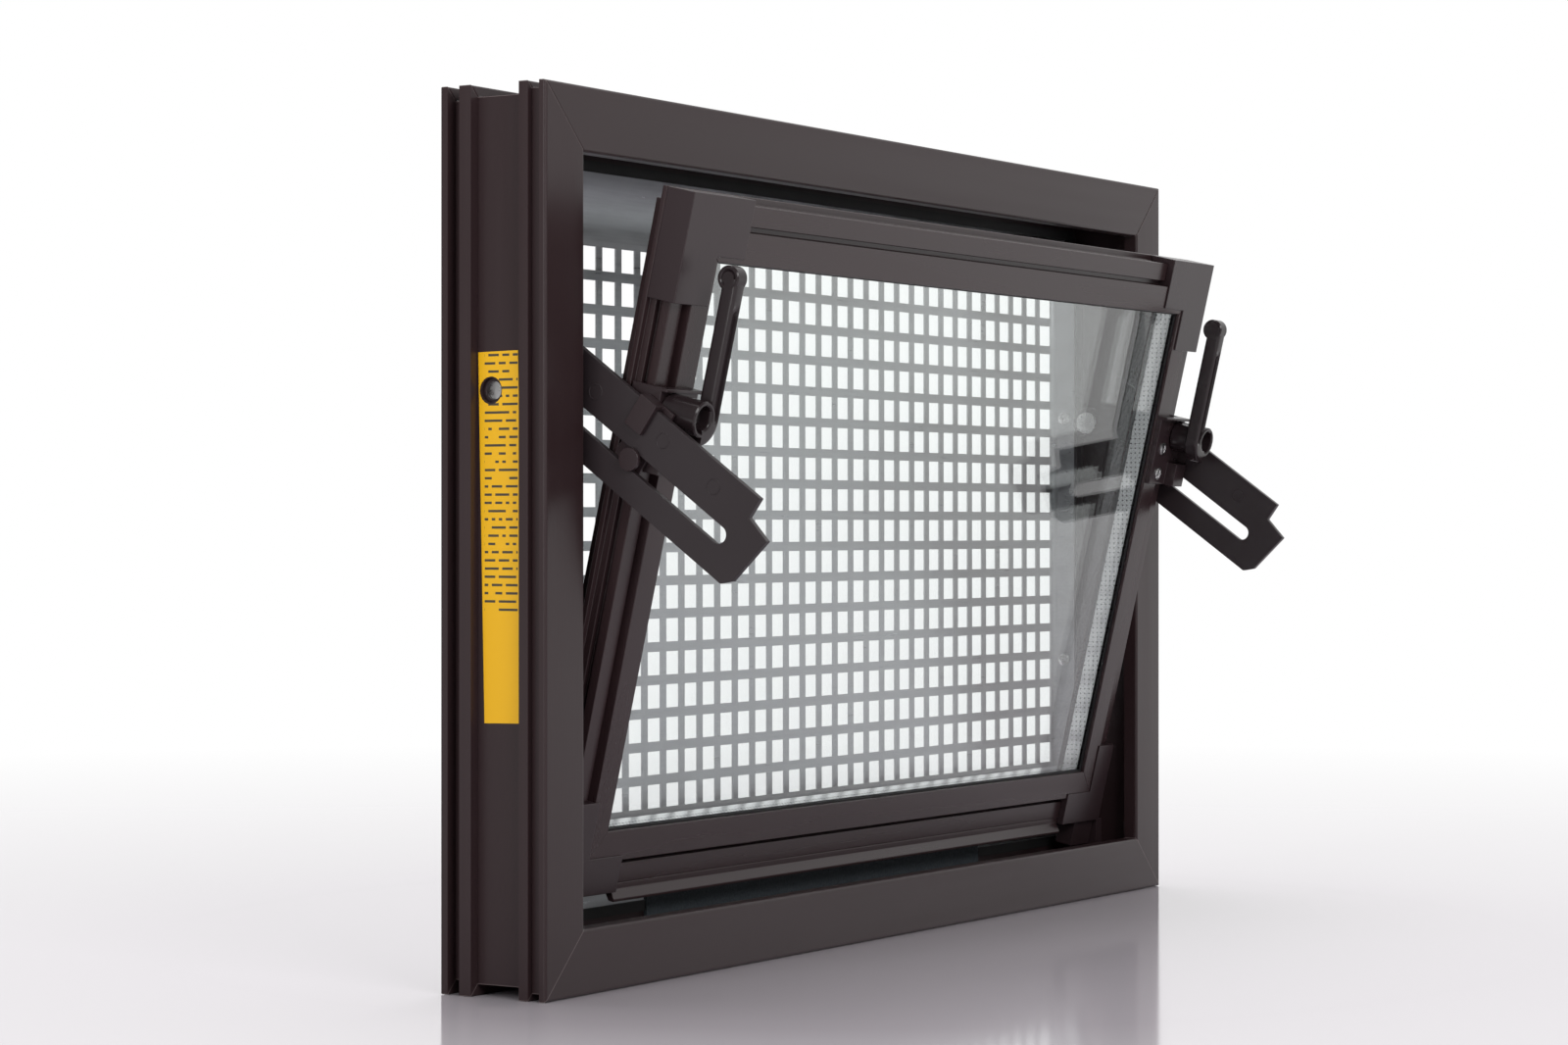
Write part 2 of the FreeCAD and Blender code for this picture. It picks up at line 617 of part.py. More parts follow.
grid = doc.addObject("Part::Feature", "grille_holes")
grid.Shape = grid_of_holes()
rim_holes = []
grille_screws = []
for side, sign in SIDES:
    for number, way in enumerate(("-", "+")):
        up = "frame_high / 2 %s grille_screw_high" % way
        tag = "%s_%d" % (side, number)
        start, end = beside(sign, "grille_half - sheet_thick - overrun", "grille_half + overrun")
        rim_holes.append(rod("tray_hole_" + tag, "x", "screw_radius", start, end, screw_line, up))
        start, end = beside(sign, "grille_half - sheet_thick", "open_half + grille_screw_bite")
        shank = rod("rim_shank_" + tag, "x", "screw_radius", start, end, screw_line, up)
        start, end = beside(sign, "grille_half - sheet_thick - screw_cap", "grille_half - sheet_thick")
        cap = rod("rim_head_" + tag, "x", "screw_head", start, end, screw_line, up)
        grille_screws.append(joined("rim_screw_" + tag, [shank, cap]))
finish("grille", less("perforated_tray", tray, [grid] + rim_holes))
finish("grille_screws", group("rim_screws", grille_screws))

# ---- Hinge bearings in the sill's recess, with the screws that hold them.
bearing_screws = []
base_top = "recess_floor + base_thick"
for side, sign in SIDES:
    base = slab(
        "bearing_base_" + side,
        beside(sign, "open_half - bearing_end - bearing_long", "open_half - bearing_end"),
        ("front + lip_deep + base_gap", "stop_face - gasket_fin - base_gap"),
        ("recess_floor", base_top),
    )
    ear = slab(
        "bearing_ear_" + side,
        beside(sign, "open_half - bearing_end - bearing_thick", "open_half - bearing_end"),
        ("hinge_y - bearing_half", "hinge_y + bearing_half"),
        ("recess_floor", "hinge_high + bearing_half"),
    )
    start, end = beside(sign, "open_half - bearing_long", "open_half + overrun")
    bore = rod("bearing_bore_" + side, "x", "hinge_pin_radius + running", start, end, "hinge_y", "hinge_high")
    cutters = [bore]
    for number, back in enumerate(BASE_SCREWS):
        across = "%d * (open_half - base_screw_in)" % sign
        tag = "%s_%d" % (side, number)
        low, high = "recess_floor - overrun", base_top + " + overrun"
        cutters.append(rod("base_hole_" + tag, "z", "screw_radius", low, high, across, back))
        low = "recess_floor - base_screw_deep"
        shank = rod("base_shank_" + tag, "z", "screw_radius", low, base_top, across, back)
        cap = rod("base_head_" + tag, "z", "screw_head", base_top, base_top + " + screw_cap", across, back)
        bearing_screws.append(joined("base_screw_" + tag, [shank, cap]))
    block = joined("bearing_block_" + side, [base, ear])
    finish("hinge_bearing_" + side, less("bearing_" + side, block, cutters))
finish("bearing_screws", group("base_screws", bearing_screws))

# ---- Arm pivots: a bush in the jamb and a headed pin through the arm.
for side, sign in SIDES:
    start, end = beside(sign, "claw_out", "frame_wide / 2 - channel_cut - bush_short")
    collar_start, collar_end = beside(sign, "claw_out", "open_half + recess")
    spigot = rod("bush_spigot_" + side, "x", "access_radius", start, end, "pivot_y", "pivot_high")
    collar = rod("bush_collar_" + side, "x", "bush_collar", collar_start, collar_end, "pivot_y", "pivot_high")
    bush = joined("bush_" + side, [spigot, collar])
    far_start, far_end = beside(sign, "arm_plane", "frame_wide / 2 + overrun")
    hollow = rod("bush_hollow_" + side, "x", "pivot_radius", far_start, far_end, "pivot_y", "pivot_high")
    finish("pivot_bush_" + side, less("bored_bush_" + side, bush, [hollow]))
    start, end = beside(sign, "arm_plane - shoe_gap", "frame_wide / 2 - channel_cut - pivot_short")
    shank = rod("pivot_shank_" + side, "x", "pivot_radius", start, end, "pivot_y", "pivot_high")
    start, end = beside(sign, "arm_plane - shoe_gap - pivot_head_thick", "arm_plane - shoe_gap")
    cap = rod("pivot_head_" + side, "x", "pivot_head", start, end, "pivot_y", "pivot_high")
    finish("pivot_pin_" + side, joined("headed_pivot_" + side, [shank, cap]))

# ---- Sash: four lengths of a second extrusion. Y runs back from its face, Z runs in to the glass.
SASH_SECTION = [
    ("band_step", "sash_side_in"),
    ("band_step", "sash_band - inner_band - band_groove"),
    ("groove_behind", "sash_band - inner_band - band_groove"),
    ("groove_behind", "sash_band - inner_band"),
    ("0", "sash_band - inner_band"),
    ("0", "sash_band"),
    ("glass_lip", "sash_band"),
    ("glass_lip", "sash_band - glass_cover"),
    ("unit_back + gasket_thick", "sash_band - glass_cover"),
    ("unit_back + gasket_thick", "sash_band - bead_lower"),
    ("sash_deep", "sash_band - bead_lower"),
    ("sash_deep", "body_step"),
    ("flange_from + flange_thick", "body_step"),
    ("flange_from + flange_thick", "0"),
    ("flange_from", "0"),
    ("flange_from", "sash_side_in"),
    ("side_groove_from + side_groove_wide", "sash_side_in"),
    ("side_groove_from + side_groove_wide", "sash_side_in + side_groove_cut"),
    ("side_groove_from", "sash_side_in + side_groove_cut"),
    ("side_groove_from", "sash_side_in"),
]


def on_sash(name, item):
    """Stand a piece made in the sash's own frame where the tilted sash is."""
    wrapped = group(name + "_on_sash", [item])
    placed(wrapped, ("0", "foot_y", "sash_foot_high"), "1; 0; 0", "tilt")
    return finish(name, wrapped)


def sash_rail(name, long):
    """One length of sash extrusion with mitred ends."""
    half = long + " / 2"
    solid = padded(name + "_section", "YZ_Plane", SASH_SECTION, long, "-" + half)
    ends = [mitre(name + "_end_" + side, long, sign) for side, sign in SIDES]
    return less(name + "_mitred", solid, ends)


rail_low = sash_rail("rail_low", "sash_wide")
rail_top = sash_rail("rail_top", "sash_wide")
placed(rail_top, ("0", "0", "sash_high"), "0; 1; 0", "180")
on_sash("sash_rail_bottom", rail_low)
on_sash("sash_rail_top", rail_top)
stiles = {}
for side, sign in SIDES:
    stile = sash_rail("stile_" + side, "sash_high")
    placed(stile, ("%d * sash_wide / 2" % sign, "0", "sash_high / 2"), "0; 1; 0", "%d * 90" % -sign)
    stiles[side] = stile
    on_sash("sash_stile_" + side, stile)

for level, rail, long, wide in (
    ("top", rail_top, "cap_long_top", "cap_wide_top"),
    ("bottom", rail_low, "cap_long_low", "cap_wide_low"),
):
    for side, sign in SIDES:
        tag = level + "_" + side
        tall = ("sash_high - " + long, "sash_high") if level == "top" else ("0", long)
        flatleg = ("sash_high - " + wide, "sash_high") if level == "top" else ("0", wide)
        rim_tall = ("sash_high - cap_rim", "sash_high") if level == "top" else ("0", "cap_rim")
        skin = ("-cap_proud", "0")
        deep = ("-cap_proud", "flange_from")
        pieces = [
            slab("cap_up_" + tag, beside(sign, "sash_wide / 2 - " + wide, "sash_wide / 2"), skin, tall),
            slab("cap_flat_" + tag, beside(sign, "sash_wide / 2 - " + long, "sash_wide / 2"), skin, flatleg),
            slab("cap_side_" + tag, beside(sign, "sash_wide / 2 - cap_rim", "sash_wide / 2"), deep, tall),
            slab("cap_edge_" + tag, beside(sign, "sash_wide / 2 - " + long, "sash_wide / 2"), deep, rim_tall),
        ]
        corner = joined("cap_block_" + tag, pieces)
        on_sash("corner_cap_" + tag, less("cap_" + tag, corner, [rail, stiles[side]]))

drip = padded(
    "drip",
    "YZ_Plane",
    [
        ("band_step", "sash_side_in"),
        ("band_step", "0"),
        ("0", "-drip_down + drip_nose"),
        ("0", "-drip_down"),
        ("band_step", "-drip_down"),
        ("drip_deep", "0"),
        ("drip_deep", "sash_side_in"),
    ],
    "sash_wide - 2 * cap_long_low - 2 * drip_gap",
    "-sash_wide / 2 + cap_long_low + drip_gap",
)
on_sash("drip_lip", drip)

# ---- Glazing unit: two panes, a spacer bar and an edge seal, held by two gaskets.
on_sash("pane_front", slab(
    "pane_front_sheet",
    ("-pane_half", "pane_half"),
    ("unit_front", "unit_front + pane_thick"),
    ("pane_low", "pane_top"),
))
on_sash("pane_back", slab(
    "pane_back_sheet",
    ("-pane_half", "pane_half"),
    ("unit_back - pane_thick", "unit_back"),
    ("pane_low", "pane_top"),
))


def ring_in_sash(name, outer_in, inner_in, depth):
    """A flat frame inside the sash, between two distances in from the panes' edges."""
    pieces = []
    for word, inset in (("outer", outer_in), ("inner", inner_in)):
        reach = depth if word == "outer" else ("-overrun", "sash_deep + overrun")
        across = ("-pane_half + (%s)" % inset, "pane_half - (%s)" % inset)
        up = ("pane_low + (%s)" % inset, "pane_top - (%s)" % inset)
        pieces.append(slab(name + "_" + word, across, reach, up))
    return on_sash(name, less(name + "_ring", pieces[0], [pieces[1]]))


between = ("unit_front + pane_thick", "unit_back - pane_thick")
ring_in_sash("edge_seal", "0", "seal_wide", between)
ring_in_sash("spacer_bar", "seal_wide", "seal_wide + spacer_wide", between)
front_cover = "glass_cover - gasket_front_back"
rear_cover = "glass_cover - bead_lower - gasket_rear_back"
ring_in_sash("glazing_gasket_front", "0", front_cover, ("glass_lip", "unit_front"))
ring_in_sash("glazing_gasket_back", "0", rear_cover, ("unit_back", "unit_back + gasket_thick"))

# ---- Sash feet with the hinge pins that turn in the bearings.
for side, sign in SIDES:
    foot = slab(
        "foot_block_" + side,
        beside(sign, "sash_wide / 2 - foot_wide", "sash_wide / 2 - foot_gap"),
        ("hinge_t - hinge_pin_radius - foot_wall", "hinge_t + hinge_pin_radius + foot_wall"),
        ("hinge_v - hinge_pin_radius - foot_wall", "0"),
    )
    start, end = beside(sign, "sash_wide / 2 - foot_wide + pin_in", "open_half")
    hole = rod("foot_hole_" + side, "x", "hinge_pin_radius", start, end, "hinge_t", "hinge_v")
    on_sash("sash_foot_" + side, less("foot_" + side, foot, [hole]))
    start, end = beside(sign, "sash_wide / 2 - foot_wide + pin_in", "open_half - pin_short")
    pin = rod("foot_pin_" + side, "x", "hinge_pin_radius", start, end, "hinge_t", "hinge_v")
    on_sash("hinge_pin_" + side, pin)

# ---- Brackets on the stiles, the spindles they carry, and their screws.
bracket_screws = []
for side, sign in SIDES:
    plate = slab(
        "bracket_plate_" + side,
        beside(sign, "sash_wide / 2 - sash_band", "sash_wide / 2"),
        ("-bracket_thick", "0"),
        ("bracket_low", "hub_up + bracket_top"),
    )
    shelf = slab(
        "bracket_shelf_" + side,
        beside(sign, "sash_wide / 2 - sash_band", "sash_wide / 2"),
        ("-shelf_deep", "0"),
        ("hub_up + bracket_top - shelf_thick", "hub_up + bracket_top"),
    )
    block = slab(
        "bracket_block_" + side,
        beside(sign, "sash_wide / 2 - block_wide", "sash_wide / 2"),
        ("-bracket_block", "0"),
        ("bracket_low", "bracket_low + block_high"),
    )
    cheek = slab(
        "bracket_cheek_" + side,
        beside(sign, "sash_wide / 2 - sash_side_in", "sash_wide / 2"),
        ("-bracket_thick", "flange_from - cheek_short"),
        ("bracket_low", "hub_up + bracket_top"),
    )
    across = "%d * (sash_wide / 2 - sash_band + bracket_screw_in)" % sign
    for number in range(2):
        tag = "bracket_screw_%s_%d" % (side, number)
        up = "bracket_low + bracket_screw_low + %d * bracket_screw_apart" % number
        screw = rod(tag, "y", "screw_head", "-bracket_thick - screw_cap", "-bracket_thick", across, up)
        bracket_screws.append(screw)
    bracket = joined("bracket_body_" + side, [plate, shelf, block, cheek])
    on_sash("bracket_" + side, bracket)
    axis = "%d * hub_half" % sign
    start = "hub_floor - spindle_gap"
    spindle = rod("spindle_post_" + side, "y", "spindle_radius", start, "-bracket_thick", axis, "hub_up")
    on_sash("crank_spindle_" + side, spindle)
    far = start + " - retainer_thick"
    retainer = rod("retainer_disc_" + side, "y", "hub_bore - retainer_gap", far, start, axis, "hub_up")
    on_sash("crank_retainer_" + side, retainer)
on_sash("bracket_screws", group("bracket_screw_heads", bracket_screws))

# ---- Crank levers: an open hub, a foot that curves up into the lever, and a cross knob at its end.
for side, sign in SIDES:
    axis = "%d * hub_half" % sign
    hub = rod("hub_" + side, "y", "hub_radius", "-hub_front", "-hub_front + hub_long", axis, "hub_up")
    lever_span = beside(sign, "lever_half - lever_wide / 2", "lever_half + lever_wide / 2")
    thick = ("-hub_front", "-hub_front + lever_thick")
    lever = slab("lever_" + side, lever_span, thick, ("hub_up", "hub_up + lever_up"))
    disc = rod("foot_disc_" + side, "y", "lever_in + lever_wide / 2", thick[0], thick[1], axis, "hub_up")
    window = slab(
        "foot_window_" + side,
        beside(sign, "lever_half - lever_wide / 2", "hub_half"),
        thick,
        ("hub_up - hub_radius", "hub_up + hub_radius + foot_rise"),
    )
    foot = doc.addObject("Part::Common", "crank_foot_" + side)
    foot.Base = disc
    foot.Tool = window
    back, up = "-hub_front + knob_back", "hub_up + lever_up"
    knob = rod("knob_" + side, "x", "knob_radius", lever_span[0], lever_span[1], back, up)
    crank = joined("crank_body_" + side, [hub, lever, foot, knob])
    mouth = rod("hub_mouth_" + side, "y", "hub_bore", "-hub_front - overrun", "hub_floor", axis, "hub_up")
    bore = rod("hub_bore_" + side, "y", "spindle_radius + running", "-hub_front", "overrun", axis, "hub_up")
    on_sash("crank_" + side, less("bored_crank_" + side, crank, [mouth, bore]))

# ---- Stay arms. In their own frame an arm points at the room: -Y runs along it, Z across it.
ARM_OUTLINE = [
    ("0", "arm_above"),
    ("-arm_step_long", "arm_above"),
    ("-arm_step_long", "arm_above - arm_step"),
    ("-arm_nose_long", "arm_above - arm_step - arm_nose_drop"),
    ("-arm_nose_long + arm_nose_back", "-arm_below + arm_corner"),
    ("-arm_nose_long + arm_nose_back + arm_corner", "-arm_below"),
    ("0", "-arm_below"),
]


def on_arm(name, item):
    """Stand a piece made in the arm's own frame where the sloping arm is."""
    wrapped = group(name + "_on_arm", [item])
    placed(wrapped, ("0", "pivot_y", "pivot_high"), "1; 0; 0", "arm_slope")
    return finish(name, wrapped)


for side, sign in SIDES:
    plate_span = beside(sign, "arm_plane", "arm_plane + arm_thick")
    plate = padded("arm_plate_" + side, "YZ_Plane", ARM_OUTLINE, "arm_thick", plate_span[0])
    root = rod("arm_root_" + side, "x", "arm_below", plate_span[0], plate_span[1], "0", "0")
    far = beside(sign, "arm_plane - overrun", "arm_plane + arm_thick + overrun")
    near, end_of_run = "-slot_start - slot_half", "-slot_end + slot_half"
    slot = slab(
        "slot_run_" + side,
        far,
        (end_of_run, near),
        ("slot_above - slot_half", "slot_above + slot_half"),
    )
    slot_near = rod("slot_near_" + side, "x", "slot_half", far[0], far[1], near, "slot_above")
    slot_far = rod("slot_far_" + side, "x", "slot_half", far[0], far[1], end_of_run, "slot_above")
    eye = rod("arm_eye_" + side, "x", "pivot_radius + running", far[0], far[1], "0", "0")
    whole = joined("arm_whole_" + side, [plate, root])
    on_arm("stay_arm_" + side, less("arm_" + side, whole, [slot, slot_near, slot_far, eye]))

    # The claw hangs over the arm's upper edge; its guide pin runs in the slot.
    claw_span = ("-shoe_along + claw_start", "-shoe_along + claw_start + claw_wide")
    over = "arm_above + shoe_gap"
    claw_top = over + " + claw_bridge"
    inside = slab(
        "claw_inside_" + side,
        beside(sign, "claw_face", "arm_plane - shoe_gap"),
        ("-shoe_along - guide_head", claw_span[1]),
        ("slot_above - guide_head", claw_top),
    )
    bridge = slab(
        "claw_bridge_" + side,
        beside(sign, "claw_face", "claw_out + claw_thick"),
        claw_span,
        (over, claw_top),
    )
    tongue = slab(
        "claw_tongue_" + side,
        beside(sign, "claw_out", "claw_out + claw_thick"),
        claw_span,
        ("arm_above - claw_reach", claw_top),
    )
    body = joined("claw_body_" + side, [inside, bridge, tongue])
    start, end = beside(sign, "claw_face - overrun", "arm_plane")
    hole = rod("claw_hole_" + side, "x", "stub_radius", start, end, "-shoe_along", "slot_above")
    on_arm("claw_" + side, less("drilled_claw_" + side, body, [hole]))
    start, end = beside(sign, "arm_plane - shoe_gap", "claw_out")
    shank = rod("guide_shank_" + side, "x", "guide_radius", start, end, "-shoe_along", "slot_above")
    start, end = beside(sign, "claw_face", "arm_plane - shoe_gap")
    stub = rod("guide_stub_" + side, "x", "stub_radius", start, end, "-shoe_along", "slot_above")
    start, end = beside(sign, "claw_out", "claw_out + claw_thick - disc_short")
    disc = rod("guide_disc_" + side, "x", "guide_head", start, end, "-shoe_along", "slot_above")
    on_arm("guide_pin_" + side, joined("guide_" + side, [shank, stub, disc]))

# ---- Check every object, then write each sub-part.
doc.recompute()
for item in doc.Objects:
    if "Invalid" in item.State or "Error" in item.State:
        raise RuntimeError("%s did not build: %s" % (item.Name, item.State))
os.makedirs("parts", exist_ok=True)
for name, item in parts.items():
    shape = item.Shape
    if shape.isNull() or not shape.isValid() or not shape.Solids:
        raise RuntimeError("%s has no valid solid" % name)
for name, item in parts.items():
    item.Shape.exportStep(os.path.join("parts", name + ".step"))
print("%d sub-parts written" % len(parts))
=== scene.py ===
"""The looks of a cellar window: a dark plastic frame, a tilted double-glazed sash, stay arms,
crank levers and a grille."""

import json
import math

import bmesh
import bpy
import numpy as np
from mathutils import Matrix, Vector


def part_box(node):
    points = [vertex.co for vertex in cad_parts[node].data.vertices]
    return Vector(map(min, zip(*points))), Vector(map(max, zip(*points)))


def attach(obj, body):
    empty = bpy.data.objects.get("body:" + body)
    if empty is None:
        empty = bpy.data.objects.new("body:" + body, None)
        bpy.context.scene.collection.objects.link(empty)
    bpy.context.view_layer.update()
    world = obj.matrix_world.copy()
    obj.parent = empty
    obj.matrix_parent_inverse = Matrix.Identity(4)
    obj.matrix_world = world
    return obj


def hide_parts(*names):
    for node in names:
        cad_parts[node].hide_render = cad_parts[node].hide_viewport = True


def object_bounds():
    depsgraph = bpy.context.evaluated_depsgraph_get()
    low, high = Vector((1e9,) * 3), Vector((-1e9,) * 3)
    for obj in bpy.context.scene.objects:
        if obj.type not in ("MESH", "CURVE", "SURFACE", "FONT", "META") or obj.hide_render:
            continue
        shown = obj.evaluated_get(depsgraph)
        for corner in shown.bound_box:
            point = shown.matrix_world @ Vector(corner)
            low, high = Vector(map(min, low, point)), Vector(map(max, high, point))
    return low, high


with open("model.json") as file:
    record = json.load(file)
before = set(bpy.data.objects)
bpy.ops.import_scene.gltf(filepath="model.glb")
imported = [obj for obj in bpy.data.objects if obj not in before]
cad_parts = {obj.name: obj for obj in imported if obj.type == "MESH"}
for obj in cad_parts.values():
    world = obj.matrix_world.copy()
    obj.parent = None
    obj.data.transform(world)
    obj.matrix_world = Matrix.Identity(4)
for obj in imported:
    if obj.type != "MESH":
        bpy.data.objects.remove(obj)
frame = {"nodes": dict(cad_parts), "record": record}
cad_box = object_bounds()
NODES = frame["nodes"]
JOINTS = {joint["name"]: joint for joint in frame["record"]["behaviour"]["joints"]}
SIDES = (("left", -1), ("right", 1))


# ---- Frame: four lengths of dark plastic extrusion, mitred and welded at the corners.
# The section's edges are slightly round, the weld shows as a fine line, and the ribs
# outside leave a channel on every side for wall anchors.

def new_material(name, colour, roughness, metallic=0.0):
    """A material with its plain values on the shader's own sockets."""
    material = bpy.data.materials.new(name)
    material.use_nodes = True
    shader = material.node_tree.nodes["Principled BSDF"]
    shader.inputs["Base Color"].default_value = (*colour, 1)
    shader.inputs["Roughness"].default_value = roughness
    shader.inputs["Metallic"].default_value = metallic
    return material, material.node_tree, shader


def stretched_noise(tree, stretch, scale, detail=4.0):
    """Noise on the piece's own place, stretched by a different amount along each axis."""
    place = tree.nodes.new("ShaderNodeTexCoord")
    mapping = tree.nodes.new("ShaderNodeMapping")
    mapping.inputs["Scale"].default_value = stretch
    noise = tree.nodes.new("ShaderNodeTexNoise")
    noise.inputs["Scale"].default_value = scale
    noise.inputs["Detail"].default_value = detail
    tree.links.new(place.outputs["Object"], mapping.inputs["Vector"])
    tree.links.new(mapping.outputs["Vector"], noise.inputs["Vector"])
    return noise.outputs["Fac"]


PATTERN_LOW, PATTERN_HIGH = 0.3, 0.7


def spread(tree, value, low, high):
    """Carry a pattern's middle range onto low to high."""
    ramp = tree.nodes.new("ShaderNodeMapRange")
    ramp.inputs["From Min"].default_value = PATTERN_LOW
    ramp.inputs["From Max"].default_value = PATTERN_HIGH
    ramp.inputs["To Min"].default_value = low
    ramp.inputs["To Max"].default_value = high
    tree.links.new(value, ramp.inputs["Value"])
    return ramp.outputs["Result"]


def blend_colours(tree, value, first, second):
    """First colour where the value is 0, second where it is 1."""
    mix = tree.nodes.new("ShaderNodeMix")
    mix.data_type = "RGBA"
    mix.inputs[6].default_value = (*first, 1)
    mix.inputs[7].default_value = (*second, 1)
    tree.links.new(value, mix.inputs[0])
    return mix.outputs[2]


def raised(tree, shader, value, strength, depth):
    """Bump on the shader's normal."""
    bump = tree.nodes.new("ShaderNodeBump")
    bump.inputs["Strength"].default_value = strength
    bump.inputs["Distance"].default_value = depth
    tree.links.new(value, bump.inputs["Height"])
    tree.links.new(bump.outputs["Normal"], shader.inputs["Normal"])


def calculated(tree, operation, first, second=None):
    """One step of arithmetic between two sockets or numbers."""
    node = tree.nodes.new("ShaderNodeMath")
    node.operation = operation
    for slot_number, value in enumerate((first, second)):
        if value is None:
            continue
        if isinstance(value, (int, float)):
            node.inputs[slot_number].default_value = value
        else:
            tree.links.new(value, node.inputs[slot_number])
    return node.outputs[0]


PLASTIC_SPECULAR = 0.36
SLOW_SCALE = 9.0
ROUGH_LESS, ROUGH_MORE = 0.06, 0.07
GRAIN_DETAIL = 2.0
GRAIN_RELIEF = (0.12, 0.0002)


def plastic(name, colour, lighter, roughness, stretch, grain):
    """Dark plastic: slow colour and gloss changes and a fine grain in the given direction."""
    material, tree, shader = new_material(name, colour, roughness)
    shader.inputs["Specular IOR Level"].default_value = PLASTIC_SPECULAR
    slow = stretched_noise(tree, stretch, SLOW_SCALE)
    tree.links.new(blend_colours(tree, slow, colour, lighter), shader.inputs["Base Color"])
    uneven = spread(tree, slow, roughness - ROUGH_LESS, roughness + ROUGH_MORE)
    tree.links.new(uneven, shader.inputs["Roughness"])
    raised(tree, shader, stretched_noise(tree, stretch, grain, GRAIN_DETAIL), *GRAIN_RELIEF)
    return material


MERGE_WITHIN = 2e-6
FLAT_WITHIN = math.radians(0.8)
SHARP_OVER = math.radians(40)
EDGE_STEPS = 2
FLAT_FACE_WEIGHT = 100


def softened(node, body, material, width):
    """A copy of a CAD piece, merged to clean faces, its sharp edges bevelled by a width."""
    mesh = bpy.data.meshes.new(node + "_soft")
    shape = bmesh.new()
    shape.from_mesh(NODES[node].data)
    bmesh.ops.remove_doubles(shape, verts=shape.verts, dist=MERGE_WITHIN)
    bmesh.ops.dissolve_limit(shape, angle_limit=FLAT_WITHIN, verts=shape.verts, edges=shape.edges)
    shape.to_mesh(mesh)
    shape.free()
    mesh.materials.clear()
    mesh.materials.append(material)
    mesh.polygons.foreach_set("use_smooth", np.ones(len(mesh.polygons), dtype=bool))
    piece = bpy.data.objects.new(node + "_soft", mesh)
    bpy.context.collection.objects.link(piece)
    bevel = piece.modifiers.new("edges", "BEVEL")
    bevel.width = width
    bevel.segments = EDGE_STEPS
    bevel.limit_method = "ANGLE"
    bevel.angle_limit = SHARP_OVER
    normals = piece.modifiers.new("flat_faces", "WEIGHTED_NORMAL")
    normals.weight = FLAT_FACE_WEIGHT
    normals.keep_sharp = True
    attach(piece, body)
    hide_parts(node)
    return piece


DARK = (0.026, 0.0135, 0.0145)
DARK_LIGHTER = (0.036, 0.021, 0.023)
ALONG_X, ALONG_Z = (0.3, 6, 6), (6, 6, 0.3)
FRAME_ROUGH = 0.34
PROFILE_GRAIN = 220
along_x = plastic("frame_plastic_across", DARK, DARK_LIGHTER, FRAME_ROUGH, ALONG_X, PROFILE_GRAIN)
along_z = plastic("frame_plastic_upright", DARK, DARK_LIGHTER, FRAME_ROUGH, ALONG_Z, PROFILE_GRAIN)
WELD_WIDTH = 0.00028
WELD_COLOUR = (0.13, 0.10, 0.10)


def weld_line(material):
    """A fine line where the distance in from the side equals the distance in from the end."""
    tree = material.node_tree
    shader = tree.nodes["Principled BSDF"]
    low, high = cad_box
    place = tree.nodes.new("ShaderNodeTexCoord")
    parts = tree.nodes.new("ShaderNodeSeparateXYZ")
    tree.links.new(place.outputs["Object"], parts.inputs["Vector"])
    half_wide = (high[0] - low[0]) / 2
    half_high = (high[2] - low[2]) / 2
    from_side = calculated(tree, "SUBTRACT", half_wide, calculated(tree, "ABSOLUTE", parts.outputs["X"]))
    up = calculated(tree, "SUBTRACT", parts.outputs["Z"], half_high)
    from_end = calculated(tree, "SUBTRACT", half_high, calculated(tree, "ABSOLUTE", up))
    apart = calculated(tree, "ABSOLUTE", calculated(tree, "SUBTRACT", from_side, from_end))
    line = calculated(tree, "LESS_THAN", apart, WELD_WIDTH)
    before = shader.inputs["Base Color"].links[0].from_socket
    mix = tree.nodes.new("ShaderNodeMix")
    mix.data_type = "RGBA"
    mix.inputs[7].default_value = (*WELD_COLOUR, 1)
    tree.links.new(line, mix.inputs[0])
    tree.links.new(before, mix.inputs[6])
    tree.links.new(mix.outputs[2], shader.inputs["Base Color"])


FRAME_EDGE = 0.0010
for material in (along_x, along_z):
    weld_line(material)
for node in ("frame_head", "frame_sill"):
    softened(node, "frame", along_x, FRAME_EDGE)
for node in ("frame_jamb_left", "frame_jamb_right"):
    softened(node, "frame", along_z, FRAME_EDGE)


# ---- Seal and foam strip: a soft black gasket on the frame's rear stop, and a blue-grey
# foam strip stuck along the sill. Both stay as CAD made them.

def dressed(node, material):
    """Give a CAD piece its finish, leaving its mesh alone."""
    slots = NODES[node].data.materials
    slots.clear()
    slots.append(material)


EVENLY = (1, 1, 1)
RUBBER, RUBBER_ROUGH = (0.012, 0.012, 0.013), 0.6
RUBBER_GRAIN, RUBBER_DETAIL = 900, 3.0
RUBBER_RELIEF = (0.25, 0.0003)
rubber, tree, shader = new_material("black_rubber", RUBBER, RUBBER_ROUGH)
raised(tree, shader, stretched_noise(tree, EVENLY, RUBBER_GRAIN, RUBBER_DETAIL), *RUBBER_RELIEF)
dressed("frame_gasket", rubber)
FOAM, FOAM_ROUGH = (0.05, 0.065, 0.075), 0.8
FOAM_DARK, FOAM_LIGHT = (0.03, 0.04, 0.05), (0.10, 0.12, 0.135)
CELL_SCALE, CELL_DETAIL = 700, 5.0
FOAM_RELIEF = (0.7, 0.0008)
foam, tree, shader = new_material("grey_foam", FOAM, FOAM_ROUGH)
cells = stretched_noise(tree, EVENLY, CELL_SCALE, CELL_DETAIL)
tree.links.new(blend_colours(tree, cells, FOAM_DARK, FOAM_LIGHT), shader.inputs["Base Color"])
raised(tree, shader, cells, *FOAM_RELIEF)
dressed("sill_strip", foam)


# ---- Label: yellow film stuck in the left channel. Its print is only plain bars of
# different lengths in rows, on its upper part.

